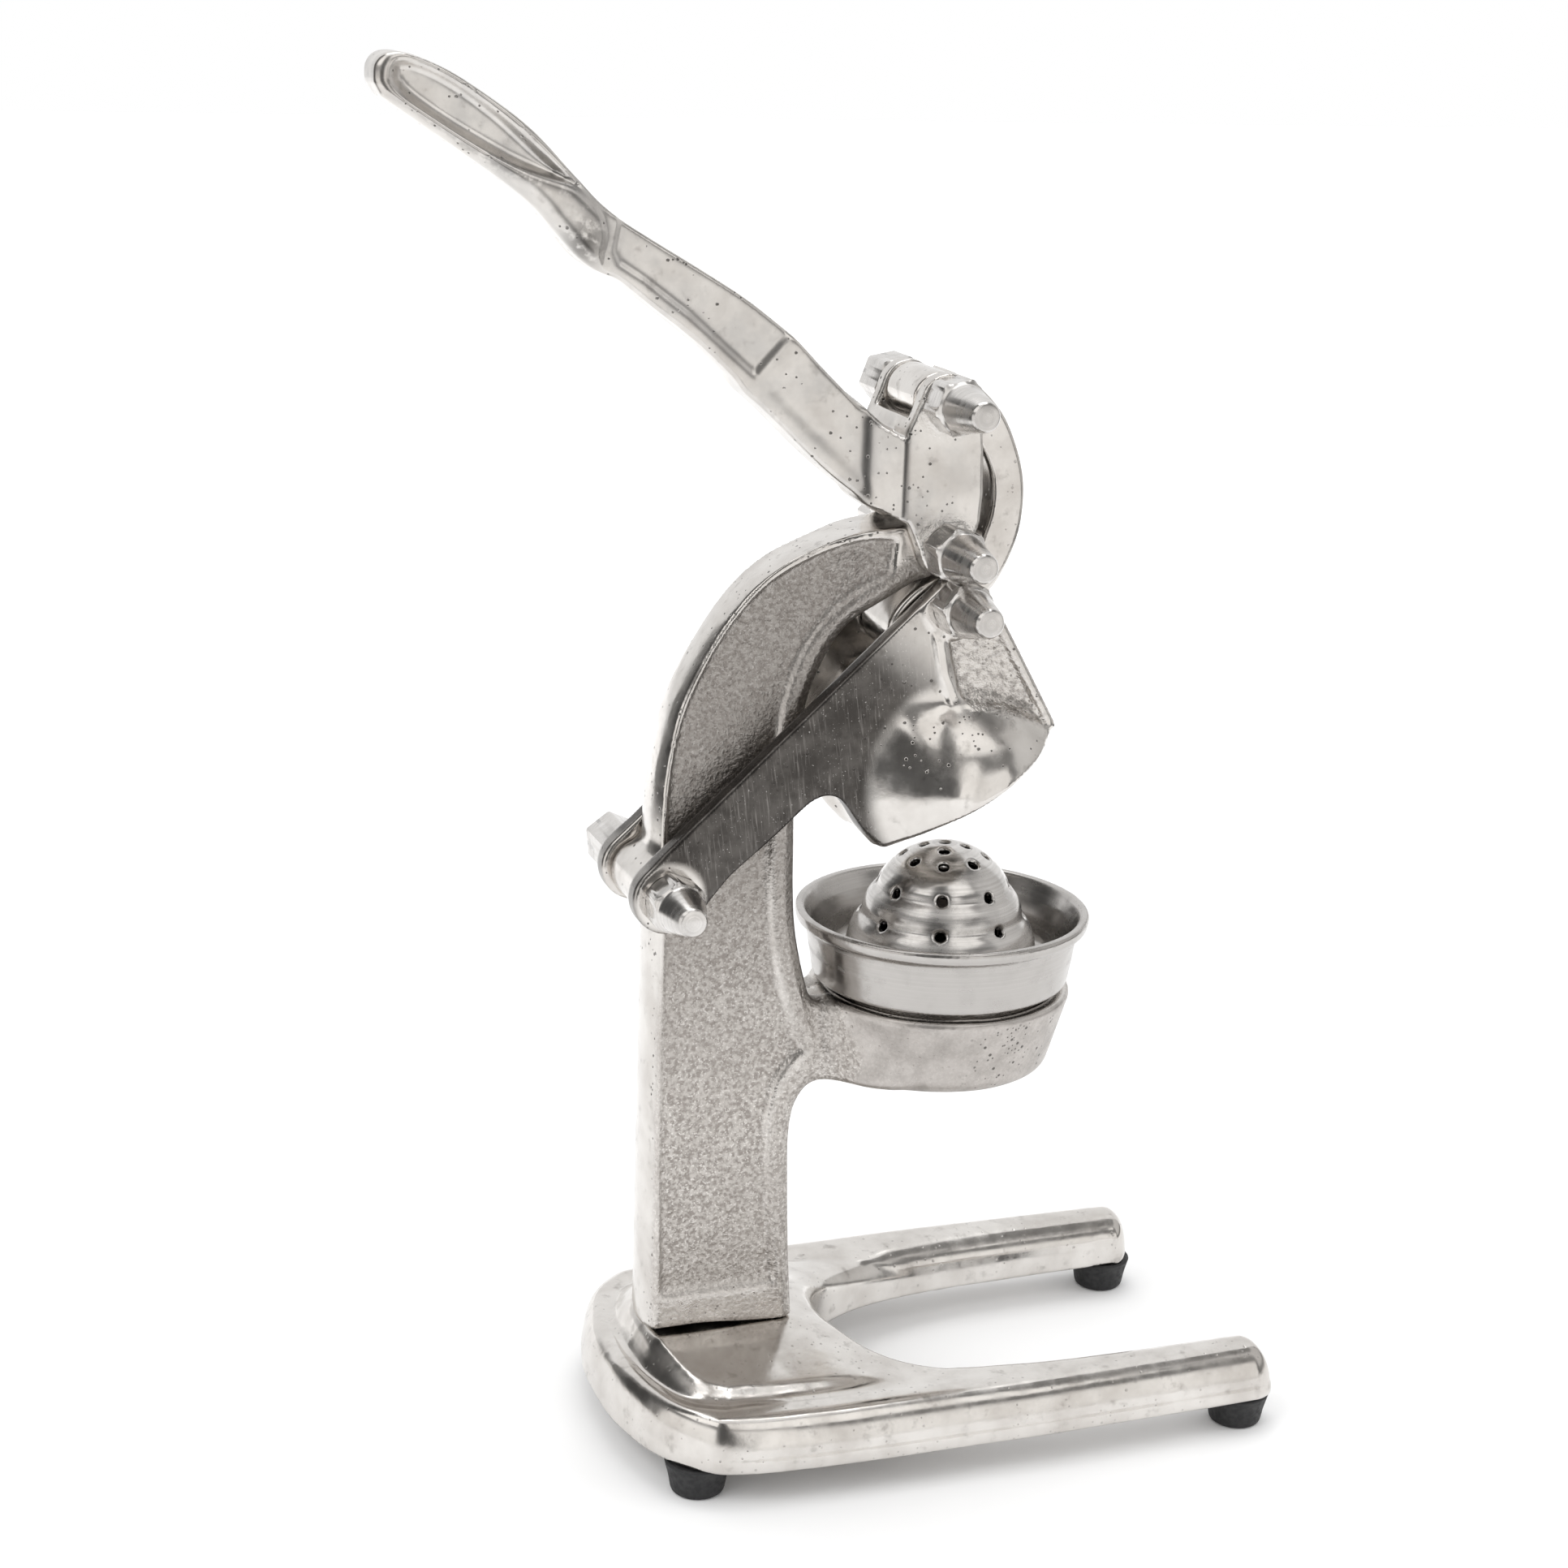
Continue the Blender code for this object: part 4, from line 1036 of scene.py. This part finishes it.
def column_material():
    shader = Shader("sand_cast_aluminium")
    colour, roughness, relief = polished_base(shader)
    rough, darker_outside, pocked = (shader.mask(name) for name in ("rough", "darker_outside", "pocked"))
    grain = shader.noise(1.5, 2)
    fine = shader.noise(0.8, 1)
    sand = shader.blend(shader.spread(grain, 0.34, 0.66), (0.33, 0.302, 0.28), (0.6, 0.57, 0.54))
    sand = shader.blend(shader.spread(fine, 0.58, 0.7, 0.0, 0.7), sand, (0.88, 0.85, 0.82))
    sand = shader.blend(shader.patches(45.0, 3.0, 0.4, 0.8, 0.0, 0.4), sand, (0.4, 0.37, 0.345))
    # The sand-cast colour turns darker from 120 mm up to 230 mm above the floor.
    height = shader.add("ShaderNodeSeparateXYZ", {"Vector": shader.place}).outputs[2]
    sand = shader.blend(shader.spread(height, 0.12, 0.23, 0.0, 0.5), sand, (0.2, 0.182, 0.168))
    worn = shader.blend(shader.patches(9.0, 6.0, 0.35, 0.7), (0.55, 0.52, 0.495), (0.4, 0.375, 0.355))
    colour = shader.blend(darker_outside, colour, worn)
    colour = shader.blend(rough, colour, sand)
    pocks = shader.times(shader.plus(shader.pits(2.6, 0.3, 0.3), shader.pits(1.5, 0.3, 0.3)), pocked)
    colour = shader.blend(shader.do("MINIMUM", pocks, 0.8), colour, DARK)
    roughness = shader.blend(shader.do("MAXIMUM", rough, darker_outside), roughness, 0.4)
    lumps = shader.plus(shader.times(grain, 0.42), shader.times(fine, 0.16),
                        shader.times(shader.noise(5, 2), 0.4))
    return shader.finish(colour, 1.0, roughness, shader.blend(rough, relief, lumps))


def press_material():
    shader = Shader("polished_press_arm")
    colour, roughness, relief = polished_base(shader)
    ground, wavy = shader.mask("ground"), shader.mask("wavy")
    streak = shader.noise(0.7, 4.0, shader.stretched((1.0, 1.0, 0.06), math.radians(8)))
    smear = shader.patches(9.0, 8.0, 0.36, 0.7)
    plate = shader.blend(smear, (0.062, 0.057, 0.053), (0.115, 0.107, 0.1))
    plate = shader.blend(shader.spread(streak, 0.52, 0.8, 0.0, 0.5), plate, (0.36, 0.342, 0.325))
    plate = shader.blend(shader.patches(0.7, 2.0, 0.66, 0.76, 0.0, 0.6), plate, (0.7, 0.68, 0.66))
    colour = shader.blend(ground, colour, plate)
    colour = shader.blend(shader.times(wavy, 0.55), colour, (0.56, 0.53, 0.5))
    crust = shader.patches(2.4, 6.0, 0.46, 0.66, 0.0, 0.6)
    colour = shader.blend(shader.times(wavy, crust), colour, (0.2, 0.183, 0.17))
    roughness = shader.blend(ground, roughness, 0.3)
    roughness = shader.blend(wavy, roughness, 0.24)
    ripple = shader.plus(shader.times(shader.noise(2.6, 3), 0.75), shader.times(shader.noise(1, 2), 0.15))
    relief = shader.plus(relief, shader.times(shader.times(streak, ground), 0.02),
                         shader.times(ripple, wavy))
    return shader.finish(colour, 1.0, roughness, relief)


def turned_material(name, axis):
    """Aluminium from the lathe: fine rings about the axis that the piece was turned on."""
    shader = Shader(name)
    parts = shader.add("ShaderNodeSeparateXYZ", {"Vector": shader.place}).outputs
    a, b, height = (parts[0], parts[1], parts[2]) if axis == "Z" else (parts[0], parts[2], parts[1])
    radius = shader.do("SQRT", shader.plus(shader.times(a, a), shader.times(b, b)))
    ring_place = shader.add("ShaderNodeCombineXYZ", {"X": radius, "Y": height, "Z": 0.0}).outputs[0]
    rings = shader.noise(0.7, 4.0, ring_place)
    bands = shader.noise(4.0, 2.0, ring_place)
    stain = shader.patches(8.0, 4.0, 0.4, 0.75)
    colour = shader.blend(shader.spread(rings, 0.3, 0.75), (0.7, 0.68, 0.66), (0.58, 0.56, 0.54))
    colour = shader.blend(shader.times(stain, 0.35), colour, (0.36, 0.35, 0.335))
    if axis == "Z":
        # The cup's outer wall is painted darker than its dome; its roughness stays the same.
        colour = shader.blend(shader.times(shader.mask("darker_outside"), 0.7), colour, (0.42, 0.402, 0.385))
        # Painted shade: the underside of the dome, seen through the drain holes, is painted almost black.
        colour = shader.blend(shader.mask("inside"), colour, (0.03, 0.025, 0.022))
    roughness = shader.spread(shader.plus(bands, shader.times(stain, 0.3)), 0.35, 0.9, 0.16, 0.34)
    relief = shader.plus(shader.times(rings, 0.002), shader.times(bands, 0.005),
                         shader.times(shader.noise(3.0), 0.014))
    return shader.finish(colour, 1.0, roughness, relief, axis if axis == "Z" else None)


def steel_material():
    shader = Shader("zinc_steel")
    tone = shader.patches(3.0, 4.0, 0.35, 0.7)
    colour = shader.blend(tone, (0.62, 0.63, 0.65), (0.42, 0.42, 0.43))
    roughness = shader.patches(1.5, 3.0, 0.3, 0.7, 0.22, 0.4)
    return shader.finish(colour, 1.0, roughness, shader.times(shader.noise(0.8, 3), 0.02))


def rubber_material():
    shader = Shader("black_rubber")
    dust = shader.patches(6.0, 5.0, 0.5, 0.85)
    colour = shader.blend(shader.times(dust, 0.5), (0.012, 0.012, 0.013), (0.06, 0.058, 0.055))
    roughness = shader.patches(2.0, 3.0, 0.3, 0.7, 0.5, 0.75)
    return shader.finish(colour, 0.0, roughness, shader.times(shader.noise(0.5, 2), 0.03))


# ------------------------------------------------------------------------ assembly

def placed(obj, surface, body, node):
    """Gives a piece its material and its body, and hides the node that it stands for."""
    obj.data.materials.clear()
    obj.data.materials.append(surface)
    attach(obj, body)
    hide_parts(node)


def build_castings():
    polished = polished_material()
    turned_cup = turned_material("turned_cup", "Z")
    pieces = (("base", base_field, polished, "stand", "polished_aluminium"),
              ("column", column_field, column_material(), "stand", "cast_aluminium"),
              ("press_arm", press_field, press_material(), "press", "polished_aluminium"),
              ("lever", lever_field, lever_material(), "lever", "polished_aluminium"),
              ("link", link_field, polished, "link", "polished_aluminium"),
              ("strainer_cup", cup_field, turned_cup, "strainer", "turned_aluminium"))
    for node, field_of, surface, body, slot in pieces:
        obj = cast(f"{node}_look", *field_of())
        if node == "strainer_cup":
            centre = Vector((CUP_X * MM, 0, 0))
            obj.data.transform(Matrix.Translation(-centre))
            obj.location = centre
        placed(obj, surface, body, node)


def build_hardware():
    turned_nut = turned_material("turned_nut", "Y")
    steel, rubber = steel_material(), rubber_material()
    pivots = (("handle", HANDLE_PIVOT, EAR_OUT, "stand", 21.0, 12),
              ("link", LINK_PIVOT, EAR_OUT, "lever", 18.0, 40),
              ("head", HEAD_PIVOT, PLATE_OUT, "press", 21.0, 22),
              ("arm", ARM_PIVOT, PLATE_OUT, "stand", 27.0, 6))
    for label, pivot, half_width, body, length, spin in pivots:
        nut, bolt = f"{label}_cap_nut", f"{label}_pivot_bolt"
        placed(cap_nut(nut, pivot, half_width, spin), turned_nut, body, nut)
        placed(pivot_bolt(bolt, pivot, half_width, length, spin), turned_nut, body, bolt)
    for place in ("rear_right", "rear_left", "front_right", "front_left"):
        node = f"foot_{place}"
        placed(foot(node), rubber, "stand", node)
        node = f"foot_screw_{place}"
        placed(foot_screw(node), steel, "stand", node)
    for place in ("rear", "front"):
        for node, piece in ((f"column_bolt_{place}", column_bolt), (f"column_washer_{place}", column_washer)):
            placed(piece(node), steel, "stand", node)


# ---------------------------------------------------------------------- the studio

def build_floor():
    bpy.ops.mesh.primitive_plane_add(size=16.0, location=(0.0, 0.0, 0.0))
    floor = bpy.context.object
    floor.name = "floor"
    shader = Shader("pale_floor")
    tone = shader.patches(900.0, 2.0, 0.3, 0.7)
    colour = shader.blend(tone, (0.9, 0.9, 0.9), (0.87, 0.87, 0.87))
    distance = shader.add("ShaderNodeVectorMath", {0: shader.place}, operation="LENGTH").outputs["Value"]
    shader.surface.inputs["Emission Color"].default_value = (1.0, 1.0, 1.0, 1.0)
    shader.feed(shader.surface.inputs["Emission Strength"], shader.spread(distance, 0.3, 1.6, 0.0, 0.4))
    floor.data.materials.append(shader.finish(colour, 0.0, 0.8, shader.noise(60.0)))


def build_world():
    world = bpy.data.worlds.new("studio")
    world.use_nodes = True
    bpy.context.scene.world = world
    background = world.node_tree.nodes["Background"]
    background.inputs["Color"].default_value = (1.0, 1.0, 1.0, 1.0)
    background.inputs["Strength"].default_value = 1.0


ROOM_R, ROOM_HIGH = 0.75, 2.0  # metres
ROOM_START, ROOM_SWEEP, ROOM_POSTS = -145, 255, 48  # degrees from -Y, and the wall's faces
# Soft boxes and dark gaps on the wall: bearings of the ends in radians from -Y, heights in metres, strength
ROOM_AREAS = ((-1.78, -0.78, 0.02, 0.48, 1.05), (-1.78, -0.78, 0.72, 1.8, 1.2),
              (-0.62, -0.22, 0.0, 1.8, 0.08), (-0.1, 0.22, 0.02, 0.62, 1.15), (0.22, 0.8, 0.02, 0.42, 1.05),
              (-0.1, 0.8, 0.72, 1.8, 1.2), (-2.36, -1.96, 0.1, 1.9, 0.05), (0.95, 1.9, 0.15, 1.0, 0.6))
ROOM_LIGHT = 0.2  # between the areas
TABLE_TOP, TABLE_LIGHT = 0.02, 0.9  # the wall's lowest part stands for the pale table


def room_mesh():
    bm = bmesh.new()
    posts = []
    for i in range(ROOM_POSTS + 1):
        bearing = math.radians(ROOM_START + ROOM_SWEEP * i / ROOM_POSTS)
        x, y = ROOM_R * math.sin(bearing), -ROOM_R * math.cos(bearing)
        posts.append((bm.verts.new((x, y, 0.0)), bm.verts.new((x, y, ROOM_HIGH))))
    for (a, b), (c, d) in zip(posts, posts[1:]):
        bm.faces.new((a, c, d, b))
    mesh = bpy.data.meshes.new("room")
    bm.to_mesh(mesh)
    bm.free()
    return mesh


def build_room():
    """The studio around the camera, seen only in the metal: tall soft boxes with dark gaps between them."""
    room = bpy.data.objects.new("room", room_mesh())
    bpy.context.scene.collection.objects.link(room)
    shader = Shader("dark_room")
    parts = shader.add("ShaderNodeSeparateXYZ", {"Vector": shader.place}).outputs
    bearing = shader.do("ARCTAN2", parts[0], shader.times(parts[1], -1.0))
    light = ROOM_LIGHT
    for start, end, low, high, strength in ROOM_AREAS:
        across_it = shader.times(shader.spread(bearing, start - 0.05, start + 0.05),
                                 shader.spread(bearing, end - 0.05, end + 0.05, 1.0, 0.0))
        up_it = shader.times(shader.spread(parts[2], low - 0.03, low + 0.03),
                             shader.spread(parts[2], high - 0.1, high + 0.1, 1.0, 0.0))
        light = shader.blend(shader.times(across_it, up_it), light, strength)
    table = shader.spread(parts[2], TABLE_TOP, TABLE_TOP + 0.05, 1.0, 0.0)
    light = shader.blend(table, light, TABLE_LIGHT)
    shader.surface.inputs["Emission Color"].default_value = (1.0, 0.985, 0.965, 1.0)
    shader.feed(shader.surface.inputs["Emission Strength"], light)
    room.data.materials.append(shader.finish((0.01, 0.01, 0.01, 1.0), 0.0, 1.0, shader.noise(100.0)))
    room.visible_camera = room.visible_diffuse = room.visible_shadow = False


def soft_light(name, place, target, size, watts):
    light = bpy.data.lights.new(name, "AREA")
    light.shape = "RECTANGLE"
    light.size, light.size_y = size
    light.energy = watts
    obj = bpy.data.objects.new(name, light)
    obj.location = place
    obj.rotation_euler = (Vector(target) - Vector(place)).to_track_quat("-Z", "Y").to_euler()
    bpy.context.scene.collection.objects.link(obj)


LIGHT_TARGET = (0.0, 0.0, 0.2)
CAMERA_PLACE = (-0.33925, -0.8844, 0.5115)
YAW, PITCH, ROLL = 0.349502, 0.283108, 0.0316317  # radians
LENS, SENSOR = 65.35, 36.0


def build_lights():
    soft_light("key", (-1.6, -0.6, 1.7), LIGHT_TARGET, (1.3, 1.3), 17)
    soft_light("fill", (1.7, -0.7, 1.1), LIGHT_TARGET, (0.8, 1.4), 6)
    soft_light("top", (0.1, 0.5, 2.3), LIGHT_TARGET, (1.5, 1.1), 9)


def build_camera():
    forward = Vector((math.sin(YAW) * math.cos(PITCH), math.cos(YAW) * math.cos(PITCH), -math.sin(PITCH)))
    level = Vector((math.cos(YAW), -math.sin(YAW), 0.0))
    rise = level.cross(forward)
    right = math.cos(ROLL) * level + math.sin(ROLL) * rise
    up = -math.sin(ROLL) * level + math.cos(ROLL) * rise
    data = bpy.data.cameras.new("camera")
    data.lens, data.sensor_width = LENS, SENSOR
    camera = bpy.data.objects.new("camera", data)
    turn = Matrix((right, up, -forward)).transposed().to_4x4()
    camera.matrix_world = Matrix.Translation(CAMERA_PLACE) @ turn
    bpy.context.scene.collection.objects.link(camera)
    bpy.context.scene.camera = camera


def main():
    build_castings()
    build_hardware()
    build_floor()
    build_world()
    build_room()
    build_lights()
    build_camera()
    bpy.context.scene.view_settings.view_transform = "Standard"


main()
